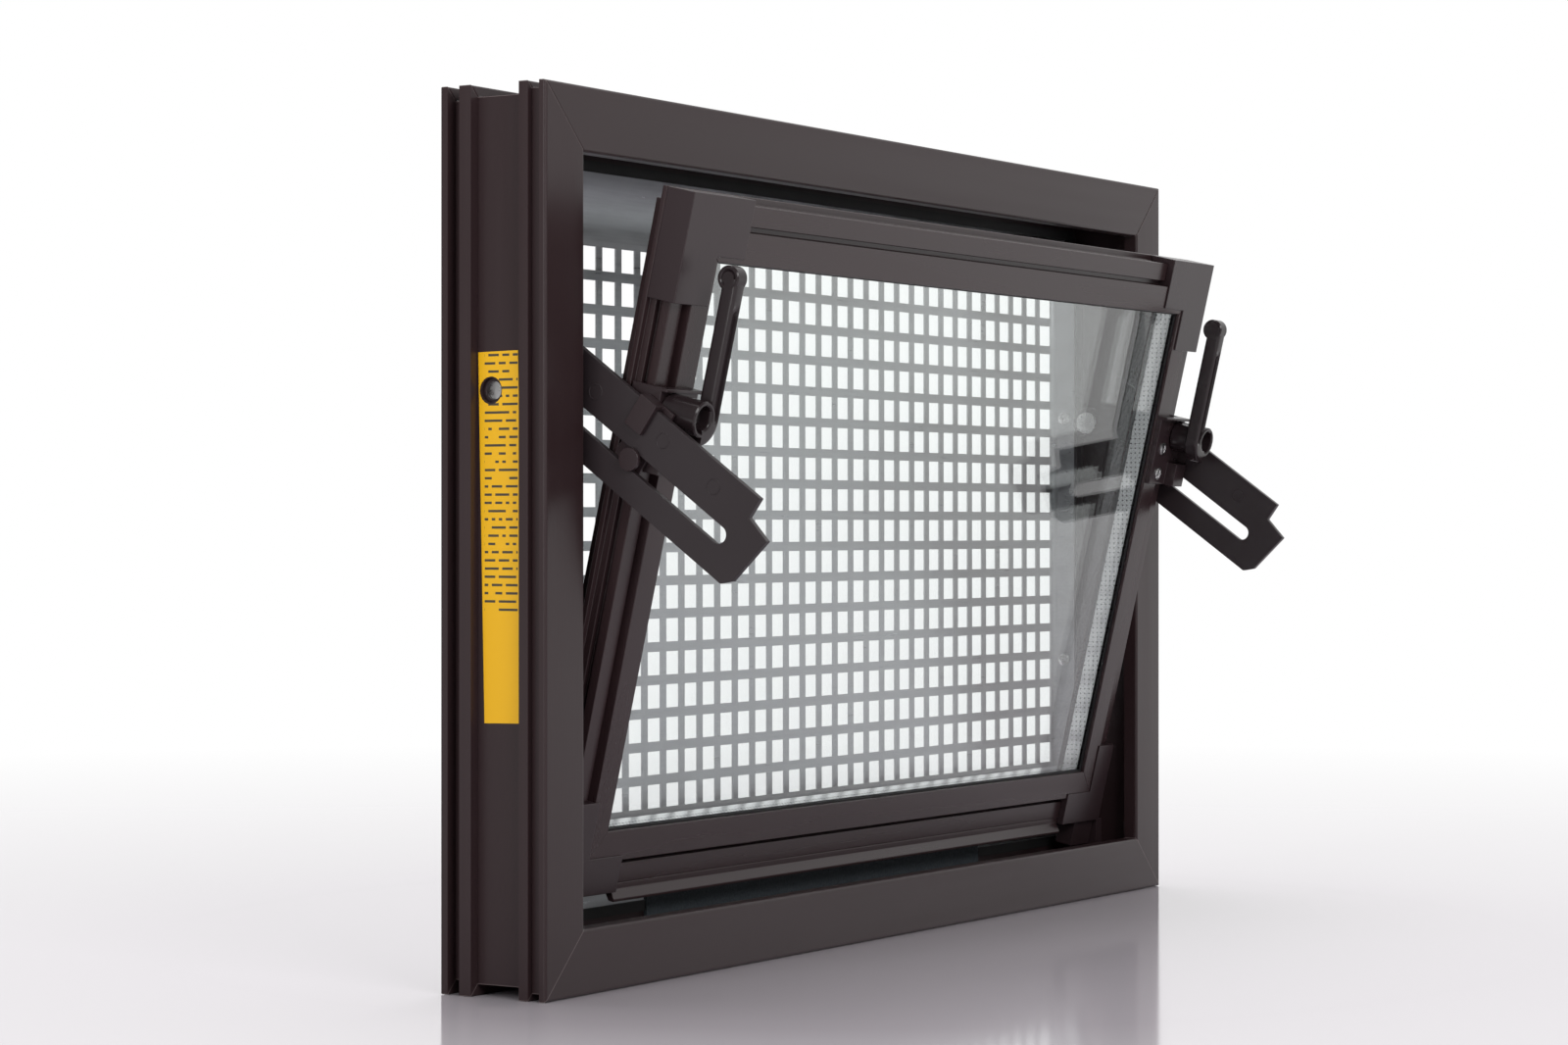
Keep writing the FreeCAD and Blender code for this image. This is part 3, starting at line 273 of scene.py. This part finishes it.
YELLOW = (0.92, 0.50, 0.0)
INK = (0.06, 0.05, 0.03)
LABEL_ROUGH = 0.42
LABEL_WAVES, LABEL_DETAIL = 160, 2.0
LABEL_RELIEF = (0.1, 0.0003)
label, tree, shader = new_material("label_film", YELLOW, LABEL_ROUGH)
place = tree.nodes.new("ShaderNodeTexCoord")
parts = tree.nodes.new("ShaderNodeSeparateXYZ")
tree.links.new(place.outputs["Object"], parts.inputs["Vector"])
ROW_PITCH = 0.0036
BAR_SHARE = 0.3
CELL_WIDE = 0.0019
EMPTY_SHARE = 0.3
PRINT_WIDE = 0.72
PRINT_FROM = 0.3
low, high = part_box("channel_label")
row_place = calculated(tree, "DIVIDE", parts.outputs["Z"], ROW_PITCH)
row = calculated(tree, "FLOOR", row_place)
in_row = calculated(tree, "LESS_THAN", calculated(tree, "FRACT", row_place), BAR_SHARE)
cell = calculated(tree, "FLOOR", calculated(tree, "DIVIDE", parts.outputs["Y"], CELL_WIDE))
where = tree.nodes.new("ShaderNodeCombineXYZ")
tree.links.new(row, where.inputs["X"])
tree.links.new(cell, where.inputs["Y"])
chance = tree.nodes.new("ShaderNodeTexWhiteNoise")
chance.noise_dimensions = "2D"
tree.links.new(where.outputs["Vector"], chance.inputs["Vector"])
filled = calculated(tree, "GREATER_THAN", chance.outputs["Value"], EMPTY_SHARE)
middle = (low[1] + high[1]) / 2
half = (high[1] - low[1]) / 2
across = calculated(tree, "ABSOLUTE", calculated(tree, "SUBTRACT", parts.outputs["Y"], middle))
inside = calculated(tree, "LESS_THAN", across, half * PRINT_WIDE)
in_bar = calculated(tree, "MULTIPLY", filled, inside)
print_low = low[2] + PRINT_FROM * (high[2] - low[2])
above = calculated(tree, "GREATER_THAN", parts.outputs["Z"], print_low)
printed = calculated(tree, "MULTIPLY", calculated(tree, "MULTIPLY", in_row, in_bar), above)
tree.links.new(blend_colours(tree, printed, YELLOW, INK), shader.inputs["Base Color"])
raised(tree, shader, stretched_noise(tree, EVENLY, LABEL_WAVES, LABEL_DETAIL), *LABEL_RELIEF)
dressed("channel_label", label)


# ---- Grille: one sheet of zinc-coated steel, punched with square holes, its top and
# bottom curved towards the room and its sides turned in. The coating is faintly mottled.

SHEET, SHEET_ROUGH = (0.50, 0.51, 0.53), 0.34
SHEET_DARK, SHEET_LIGHT = (0.20, 0.205, 0.215), (0.46, 0.47, 0.49)
SHEET_SMOOTHEST, SHEET_ROUGHEST = 0.24, 0.46
SHEET_RELIEF = (0.08, 0.0002)
CLOUD_SCALE, CLOUD_DETAIL = 30, 6.0
ROLLING_WAY = (1, 12, 30)
STREAK_SCALE, STREAK_DETAIL = 22, 3.0
zinc_sheet, tree, shader = new_material("galvanised_sheet", SHEET, SHEET_ROUGH, 1.0)
cloud = stretched_noise(tree, EVENLY, CLOUD_SCALE, CLOUD_DETAIL)
streak = stretched_noise(tree, ROLLING_WAY, STREAK_SCALE, STREAK_DETAIL)
both = calculated(tree, "MULTIPLY", calculated(tree, "ADD", cloud, streak), 0.5)
tree.links.new(blend_colours(tree, both, SHEET_DARK, SHEET_LIGHT), shader.inputs["Base Color"])
tree.links.new(spread(tree, both, SHEET_SMOOTHEST, SHEET_ROUGHEST), shader.inputs["Roughness"])
raised(tree, shader, streak, *SHEET_RELIEF)
dressed("grille", zinc_sheet)


# ---- Screws: zinc-plated pan heads with a cross recess, in the grille's sides, the
# hinge bearings and the brackets. Each group of like screws is one piece.

PLATING, PLATING_ROUGH = (0.60, 0.60, 0.60), 0.28
PLATING_SCALE = 400
PLATING_SMOOTHEST, PLATING_ROUGHEST = 0.2, 0.4
zinc, tree, shader = new_material("zinc_plate", PLATING, PLATING_ROUGH, 1.0)
plating = stretched_noise(tree, EVENLY, PLATING_SCALE)
uneven = spread(tree, plating, PLATING_SMOOTHEST, PLATING_ROUGHEST)
tree.links.new(uneven, shader.inputs["Roughness"])


def grid_faces(rows, columns):
    """Four-sided faces of a grid of points whose last column joins its first."""
    row = np.arange(rows - 1)[:, None]
    column = np.arange(columns)[None, :]
    following = (column + 1) % columns
    corners = (row * columns + column, row * columns + following)
    corners += ((row + 1) * columns + following, (row + 1) * columns + column)
    return np.stack([corner.ravel() for corner in corners], axis=1)


SEAM_WITHIN = 1e-6
SLIVER_UNDER = 1e-7
CREASE_OVER = math.radians(38)


def surface(name, patches, material, body, replaced=()):
    """Several point grids (rows, columns, 3) as one piece. Ends and seams are merged shut."""
    points, faces, base = [], [], 0
    for patch in patches:
        rows, columns, _ = patch.shape
        points.append(patch.reshape(-1, 3))
        faces.append(grid_faces(rows, columns) + base)
        base += rows * columns
    mesh = bpy.data.meshes.new(name)
    mesh.from_pydata(np.concatenate(points).tolist(), [], np.concatenate(faces).tolist())
    shape = bmesh.new()
    shape.from_mesh(mesh)
    bmesh.ops.remove_doubles(shape, verts=shape.verts, dist=SEAM_WITHIN)
    bmesh.ops.dissolve_degenerate(shape, edges=shape.edges, dist=SLIVER_UNDER)
    bmesh.ops.recalc_face_normals(shape, faces=shape.faces)
    shape.to_mesh(mesh)
    shape.free()
    mesh.materials.append(material)
    mesh.polygons.foreach_set("use_smooth", np.ones(len(mesh.polygons), dtype=bool))
    mesh.set_sharp_from_angle(angle=CREASE_OVER)
    piece = bpy.data.objects.new(name, mesh)
    bpy.context.collection.objects.link(piece)
    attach(piece, body)
    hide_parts(*replaced)
    return piece


NEARLY_UPRIGHT = 0.9


def frame_about(axis):
    """Two directions square to an axis and to each other."""
    axis = np.array(axis, dtype=float) / np.linalg.norm(axis)
    helper = np.array([0.0, 0.0, 1.0]) if abs(axis[2]) < NEARLY_UPRIGHT else np.array([1.0, 0.0, 0.0])
    first = np.cross(helper, axis)
    first /= np.linalg.norm(first)
    return axis, first, np.cross(axis, first)


HEAD_STEPS, HEAD_RINGS = 48, 13
DOME_FALL = 0.55
CROSS_DEEP = 0.6
CROSS_HALF, CROSS_REACH, CROSS_FADE = 0.16, 0.62, 0.12


def screw_head(centre, axis, radius, high):
    """A dome over a disc: height falls with the square of the radius, less a cross-shaped
    dip near the middle; the rim then drops to the seat and the underside closes it."""
    axis, first, second = frame_about(axis)
    angle = np.linspace(0, 2 * np.pi, HEAD_STEPS, endpoint=False)[None, :]
    share = np.concatenate([np.linspace(0, 1, HEAD_RINGS), [1.0, 0.0]])[:, None]
    rise = high * (1 - DOME_FALL * share ** 2)
    arm = np.minimum(np.abs(np.sin(angle)), np.abs(np.cos(angle))) * share
    dip = CROSS_DEEP * high * np.clip(1 - arm / CROSS_HALF, 0, 1)
    dip = dip * np.clip((CROSS_REACH - share) / CROSS_FADE, 0, 1)
    rise = rise - dip
    rise[-2:] = 0
    out = radius * share
    return (
        np.array(centre)
        + (out * np.cos(angle))[..., None] * first
        + (out * np.sin(angle))[..., None] * second
        + (rise + 0 * angle)[..., None] * axis
    )


def islands(node):
    """The lowest and highest corner of every separate solid in a node, from its merged mesh."""
    shape = bmesh.new()
    shape.from_mesh(NODES[node].data)
    bmesh.ops.remove_doubles(shape, verts=shape.verts, dist=MERGE_WITHIN)
    left, found = set(shape.verts), []
    while left:
        reached, todo = set(), [left.pop()]
        while todo:
            vert = todo.pop()
            reached.add(vert)
            for edge in vert.link_edges:
                other = edge.other_vert(vert)
                if other in left:
                    left.discard(other)
                    todo.append(other)
        places = np.array([vert.co[:] for vert in reached])
        found.append((places.min(axis=0), places.max(axis=0)))
    shape.free()
    return sorted(found, key=lambda corners: corners[0].tolist())


HEAD_RADIUS = 0.0035
HEAD_HIGH = 0.0014
lever_axis = np.array(JOINTS["crank_right_turn"]["axis"])
room_way = lever_axis if lever_axis[1] < 0 else -lever_axis
heads = []
for low, high in islands("bearing_screws"):
    seat = ((low[0] + high[0]) / 2, (low[1] + high[1]) / 2, high[2] - HEAD_HIGH)
    heads.append(screw_head(seat, (0, 0, 1), HEAD_RADIUS, HEAD_HIGH))
surface("bearing_screw_heads", heads, zinc, "frame", ["bearing_screws"])
heads = []
for low, high in islands("grille_screws"):
    inward = -1 if low[0] > 0 else 1
    face = (high[0] - HEAD_HIGH) if inward > 0 else (low[0] + HEAD_HIGH)
    seat = (face, (low[1] + high[1]) / 2, (low[2] + high[2]) / 2)
    heads.append(screw_head(seat, (inward, 0, 0), HEAD_RADIUS, HEAD_HIGH))
surface("grille_screw_heads", heads, zinc, "frame", ["grille_screws"])
heads = []
for low, high in islands("bracket_screws"):
    seat = (low + high) / 2 - room_way * HEAD_HIGH / 2
    heads.append(screw_head(seat, room_way, HEAD_RADIUS, HEAD_HIGH))
surface("bracket_screw_heads", heads, zinc, "sash", ["bracket_screws"])


# ---- Hinges and pivots: moulded bearings screwed in the sill's recess, steel pins in the
# sash's feet, and a bush with a headed pin for each arm in the jambs.

MOULDED, MOULDED_LIGHTER = (0.022, 0.0125, 0.014), (0.036, 0.023, 0.026)
MOULDED_ROUGH, MOULDED_GRAIN = 0.30, 500
MOULDED_EDGE, SMALL_EDGE = 0.0004, 0.0003
moulded = plastic("moulded_plastic", MOULDED, MOULDED_LIGHTER, MOULDED_ROUGH, EVENLY, MOULDED_GRAIN)
for side, _ in SIDES:
    softened("hinge_bearing_" + side, "frame", moulded, MOULDED_EDGE)
    softened("pivot_bush_" + side, "frame", moulded, SMALL_EDGE)
    softened("sash_foot_" + side, "sash", moulded, MOULDED_EDGE)
    for node in ("pivot_pin_", "hinge_pin_", "crank_spindle_", "crank_retainer_"):
        dressed(node + side, zinc)


# ---- Sash: four lengths of a slimmer extrusion, glossier than the frame, with a plain
# band next to the glass, a groove and a lower outer band. Moulded caps hold the corners.

SASH_ROUGH = 0.27
sash_across = plastic("sash_plastic_across", DARK, DARK_LIGHTER, SASH_ROUGH, ALONG_X, PROFILE_GRAIN)
sash_upright = plastic("sash_plastic_upright", DARK, DARK_LIGHTER, SASH_ROUGH, ALONG_Z, PROFILE_GRAIN)
SASH_EDGE = 0.00035
for node in ("sash_rail_top", "sash_rail_bottom", "drip_lip"):
    softened(node, "sash", sash_across, SASH_EDGE)
for side, _ in SIDES:
    softened("sash_stile_" + side, "sash", sash_upright, SASH_EDGE)
    for level in ("top_", "bottom_"):
        softened("corner_cap_" + level + side, "sash", moulded, SASH_EDGE)
    softened("bracket_" + side, "sash", moulded, SASH_EDGE)


# ---- Glazing: two clear panes apart by a bright perforated aluminium bar, with a dark
# seal round its outside and a thin gasket on each face.

GLASS = (0.97, 0.99, 0.985)
GLASS_BENDS = 1.45
glass, tree, shader = new_material("float_glass", GLASS, 0.0)
shader.inputs["Transmission Weight"].default_value = 1.0
shader.inputs["IOR"].default_value = GLASS_BENDS
for node in ("pane_front", "pane_back"):
    dressed(node, glass)
SEALANT, SEALANT_ROUGH = (0.02, 0.02, 0.023), 0.5
SEALANT_LUMPS = 300
SEALANT_RELIEF = (0.3, 0.0004)
sealant, tree, shader = new_material("edge_sealant", SEALANT, SEALANT_ROUGH)
raised(tree, shader, stretched_noise(tree, EVENLY, SEALANT_LUMPS), *SEALANT_RELIEF)
dressed("edge_seal", sealant)
BRIGHT, BRIGHT_ROUGH = (0.86, 0.87, 0.88), 0.2
PIERCED = (0.10, 0.10, 0.11)
HOLES_PER_METRE = 380
HOLE_SHARE = 0.25
bright, tree, shader = new_material("perforated_aluminium", BRIGHT, BRIGHT_ROUGH, 1.0)
spots = tree.nodes.new("ShaderNodeTexVoronoi")
spots.inputs["Scale"].default_value = HOLES_PER_METRE
spots.inputs["Randomness"].default_value = 0.0
place = tree.nodes.new("ShaderNodeTexCoord")
tree.links.new(place.outputs["Object"], spots.inputs["Vector"])
pierced = calculated(tree, "LESS_THAN", spots.outputs["Distance"], HOLE_SHARE)
tree.links.new(blend_colours(tree, pierced, BRIGHT, PIERCED), shader.inputs["Base Color"])
dressed("spacer_bar", bright)
for node in ("glazing_gasket_front", "glazing_gasket_back"):
    dressed(node, rubber)


# ---- Crank levers: glossy moulded levers. An open tube turns on the spindle, and a
# grooved arm curls out of its foot and runs up to a round cross knob.

POLISHED, POLISHED_LIGHTER = (0.016, 0.010, 0.0115), (0.025, 0.0175, 0.0195)
POLISHED_ROUGH, POLISHED_GRAIN = 0.2, 300
polished = plastic("polished_plastic", POLISHED, POLISHED_LIGHTER, POLISHED_ROUGH, EVENLY, POLISHED_GRAIN)
PIVOT_BEHIND = 0.0124
HUB_RADIUS = 0.0083
HUB_MOUTH = 0.0061
HUB_BORE = 0.0041
HUB_LONG = 0.0189
MOUTH_DEEP = 0.012
LEVER_IN = 0.0082
LEVER_WIDE = 0.0076
LEVER_THICK = 0.008
LEVER_UP = 0.0625
KNOB_RADIUS = 0.0056
KNOB_BACK = 0.0052
ROUND_EDGE = 0.0006
KNOB_STEP_IN, KNOB_STEP_DIP, KNOB_STEP_OUT = 0.5, 0.58, 0.72
KNOB_DIP = 0.0008
TURN_STEPS = 56
BEND_RINGS, RUN_RINGS, SECTION_STEPS = 14, 40, 40
RUN_START = 0.001
CORNER_POWER = 0.38
GROOVE_FROM, GROOVE_TO, GROOVE_FADE = 0.22, 0.86, 0.05
GROOVE_HALF, GROOVE_DEEP = 0.27, 0.0016


def turned(profile, centre, axis, first, second):
    """A closed outline of radius and depth carried round an axis."""
    angle = np.linspace(0, 2 * np.pi, TURN_STEPS, endpoint=False)[None, :]
    radius, depth = profile[:, :1], profile[:, 1:]
    return (
        centre
        + (radius * np.cos(angle))[..., None] * first
        + (radius * np.sin(angle))[..., None] * second
        + (depth + 0 * angle)[..., None] * axis
    )


def lever_arm(centre, inward, back, up):
    """A rounded square section carried along a quarter turn and a straight run. A shallow
    groove is pressed in the front face, fading out at both ends."""
    turn = LEVER_IN
    bend = np.linspace(-np.pi / 2, 0, BEND_RINGS)
    run = np.linspace(RUN_START, LEVER_UP, RUN_RINGS)
    side_way = np.concatenate([turn * np.cos(bend), np.full(run.size, turn)])
    rise = np.concatenate([turn * np.sin(bend), run])
    heading = np.concatenate([bend + np.pi / 2, np.full(run.size, np.pi / 2)])
    angle = np.linspace(0, 2 * np.pi, SECTION_STEPS, endpoint=False)
    wide = np.sign(np.cos(angle)) * np.abs(np.cos(angle)) ** CORNER_POWER * LEVER_WIDE / 2
    thick = np.sign(np.sin(angle)) * np.abs(np.sin(angle)) ** CORNER_POWER * LEVER_THICK / 2
    along = np.linspace(0, 1, side_way.size)
    fade = np.clip((along - GROOVE_FROM) / GROOVE_FADE, 0, 1)
    fade = fade * np.clip((GROOVE_TO - along) / GROOVE_FADE, 0, 1)
    front = np.clip(-thick / (LEVER_THICK / 2), 0, 1) * (np.abs(wide) < LEVER_WIDE * GROOVE_HALF)
    pressed = GROOVE_DEEP * fade[:, None] * front[None, :]
    across = np.sin(heading)[:, None] * wide[None, :]
    climb = -np.cos(heading)[:, None] * wide[None, :]
    depth = thick[None, :] + pressed + LEVER_THICK / 2
    points = (
        centre
        + (side_way[:, None] + across)[..., None] * inward
        + (rise[:, None] + climb)[..., None] * up
        + depth[..., None] * back
    )
    start = np.repeat(points[:1].mean(axis=1, keepdims=True), points.shape[1], axis=1)
    end = np.repeat(points[-1:].mean(axis=1, keepdims=True), points.shape[1], axis=1)
    return np.concatenate([start, points, end])


for side, sign in SIDES:
    joint = JOINTS["crank_%s_turn" % side]
    back = -room_way
    inward = np.array([-sign, 0.0, 0.0])
    up = np.array([0.0, -back[2], back[1]])
    front = np.array(joint["pos_m"]) + room_way * PIVOT_BEHIND
    tube = np.array([
        (HUB_MOUTH, ROUND_EDGE), (HUB_MOUTH + ROUND_EDGE, 0), (HUB_RADIUS - ROUND_EDGE, 0),
        (HUB_RADIUS, ROUND_EDGE), (HUB_RADIUS, HUB_LONG - ROUND_EDGE), (HUB_RADIUS - ROUND_EDGE, HUB_LONG),
        (HUB_BORE, HUB_LONG), (HUB_BORE, MOUTH_DEEP), (HUB_MOUTH, MOUTH_DEEP), (HUB_MOUTH, ROUND_EDGE),
    ])
    half = LEVER_WIDE / 2
    knob = np.array([
        (0, -half), (KNOB_RADIUS * KNOB_STEP_IN, -half),
        (KNOB_RADIUS * KNOB_STEP_DIP, -half + KNOB_DIP), (KNOB_RADIUS * KNOB_STEP_OUT, -half),
        (KNOB_RADIUS - ROUND_EDGE, -half), (KNOB_RADIUS, -half + ROUND_EDGE),
        (KNOB_RADIUS, half - ROUND_EDGE), (KNOB_RADIUS - ROUND_EDGE, half), (0, half),
    ])
    top = front + inward * LEVER_IN + up * LEVER_UP + back * KNOB_BACK
    pieces = [
        turned(tube, front, back, inward, up),
        lever_arm(front, inward, back, up),
        turned(knob, top, inward, back, up),
    ]
    surface("crank_lever_" + side, pieces, polished, "crank_" + side, ["crank_" + side])


# ---- Stay arms: flat moulded plates with a long slot, hung on the jambs, with round
# moulding marks on their faces. A claw over the upper edge carries the guide pin.

ARM, ARM_LIGHTER = (0.022, 0.015, 0.017), (0.034, 0.026, 0.029)
ARM_ROUGH, ARM_GRAIN = 0.36, 420
ARM_EDGE = 0.0004
arm_plastic = plastic("arm_plastic", ARM, ARM_LIGHTER, ARM_ROUGH, EVENLY, ARM_GRAIN)
MARK_RADIUS = 0.0034
MARK_WIRE = 0.00022
MARK_STEPS, MARK_WIRE_STEPS = 33, 8
MARK_PLACES = ((0.030, 0.021), (0.072, 0.024), (0.105, 0.023))
for side, sign in SIDES:
    body = "arm_" + side
    softened("stay_arm_" + side, body, arm_plastic, ARM_EDGE)
    softened("claw_" + side, "claw_" + side, moulded, SMALL_EDGE)
    softened("guide_pin_" + side, "claw_" + side, moulded, SMALL_EDGE)
    pivot = np.array(JOINTS["arm_%s_swing" % side]["pos_m"])
    slide = np.array(JOINTS["claw_%s_slide" % side]["axis"])
    along = -slide / np.linalg.norm(slide)
    across = np.array([0.0, along[2], -along[1]])
    low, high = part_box("stay_arm_" + side)
    turn = np.linspace(0, 2 * np.pi, MARK_STEPS)[:, None]
    wire = np.linspace(0, 2 * np.pi, MARK_WIRE_STEPS, endpoint=False)[None, :]
    marks = []
    for face in (low[0], high[0]):
        for far, above in MARK_PLACES:
            middle = np.array([face, pivot[1], pivot[2]]) + along * far + across * above
            reach = MARK_RADIUS + MARK_WIRE * np.cos(wire)
            marks.append(
                middle
                + (reach * np.cos(turn))[..., None] * along
                + (reach * np.sin(turn))[..., None] * across
                + (MARK_WIRE * np.sin(wire) + 0 * turn)[..., None] * np.array([1.0, 0, 0])
            )
    surface("moulding_marks_" + side, marks, arm_plastic, body)


# ---- Stage: a pale glossy floor that fades to the backdrop's white, soft lamps and the camera.

FLOOR_HALF = 6.0
FLOOR_BELOW = 0.0002
PALE, PALE_ROUGH, PALE_SPECULAR = (0.60, 0.555, 0.60), 0.09, 0.6
FADE_FROM, FADE_TO = 0.35, 1.6
mesh = bpy.data.meshes.new("floor")
corners = [(x * FLOOR_HALF, y * FLOOR_HALF, -FLOOR_BELOW) for x, y in ((-1, -1), (1, -1), (1, 1), (-1, 1))]
mesh.from_pydata(corners, [], [(0, 1, 2, 3)])
floor = bpy.data.objects.new("floor", mesh)
bpy.context.collection.objects.link(floor)
pale, tree, shader = new_material("pale_floor", PALE, PALE_ROUGH)
shader.inputs["Specular IOR Level"].default_value = PALE_SPECULAR
place = tree.nodes.new("ShaderNodeTexCoord")
length = tree.nodes.new("ShaderNodeVectorMath")
length.operation = "LENGTH"
tree.links.new(place.outputs["Object"], length.inputs[0])
away = tree.nodes.new("ShaderNodeMapRange")
away.inputs["From Min"].default_value = FADE_FROM
away.inputs["From Max"].default_value = FADE_TO
tree.links.new(length.outputs["Value"], away.inputs["Value"])
glow = tree.nodes.new("ShaderNodeEmission")
glow.inputs["Color"].default_value = (1, 1, 1, 1)
fade = tree.nodes.new("ShaderNodeMixShader")
tree.links.new(away.outputs["Result"], fade.inputs["Fac"])
tree.links.new(shader.outputs["BSDF"], fade.inputs[1])
tree.links.new(glow.outputs["Emission"], fade.inputs[2])
tree.links.new(fade.outputs["Shader"], tree.nodes["Material Output"].inputs["Surface"])
mesh.materials.append(pale)

BACKDROP_WAY = (0.8473, 0.5312, 0.0)
FAR_SIDE = 0.30
SOFT_FROM, SOFT_TO = -0.1, 0.6
world = bpy.data.worlds.new("studio")
world.use_nodes = True
tree = world.node_tree
backdrop = tree.nodes["Background"]
backdrop.inputs["Color"].default_value = (1, 1, 1, 1)
direction = tree.nodes.new("ShaderNodeTexCoord")
facing = tree.nodes.new("ShaderNodeVectorMath")
facing.operation = "DOT_PRODUCT"
facing.inputs[1].default_value = BACKDROP_WAY
tree.links.new(direction.outputs["Generated"], facing.inputs[0])
soft_edge = tree.nodes.new("ShaderNodeMapRange")
soft_edge.interpolation_type = "SMOOTHSTEP"
soft_edge.inputs["From Min"].default_value = SOFT_FROM
soft_edge.inputs["From Max"].default_value = SOFT_TO
soft_edge.inputs["To Min"].default_value = FAR_SIDE
soft_edge.inputs["To Max"].default_value = 1.0
tree.links.new(facing.outputs["Value"], soft_edge.inputs["Value"])
tree.links.new(soft_edge.outputs["Result"], backdrop.inputs["Strength"])
bpy.context.scene.world = world
bpy.context.scene.view_settings.view_transform = "Standard"


def lamp(name, place, aim, power, wide, high):
    """A soft rectangular lamp that faces a point."""
    data = bpy.data.lights.new(name, "AREA")
    data.shape = "RECTANGLE"
    data.size = wide
    data.size_y = high
    data.energy = power
    item = bpy.data.objects.new(name, data)
    item.location = place
    item.rotation_euler = (Vector(aim) - Vector(place)).to_track_quat("-Z", "Y").to_euler()
    bpy.context.collection.objects.link(item)


MIDDLE = (0, 0, 0.2)
lamp("room_side", (-1.2, -2.2, 1.4), MIDDLE, 30, 1.4, 1.0)
lamp("left_side", (-2.4, 0.2, 0.9), MIDDLE, 14, 0.6, 1.4)
lamp("overhead", (0.3, 0.4, 2.2), MIDDLE, 22, 1.6, 1.2)

CAMERA_PLACE = (-1.56556, -0.94391, 0.20667)
CAMERA_WAY = (0.8473, 0.5312, 0.0008)
LENS_MM, SENSOR_MM = 82.67, 36
camera_data = bpy.data.cameras.new("camera")
camera_data.lens = LENS_MM
camera_data.sensor_width = SENSOR_MM
camera = bpy.data.objects.new("camera", camera_data)
camera.location = CAMERA_PLACE
camera.rotation_euler = Vector(CAMERA_WAY).to_track_quat("-Z", "Y").to_euler()
bpy.context.collection.objects.link(camera)
bpy.context.scene.camera = camera
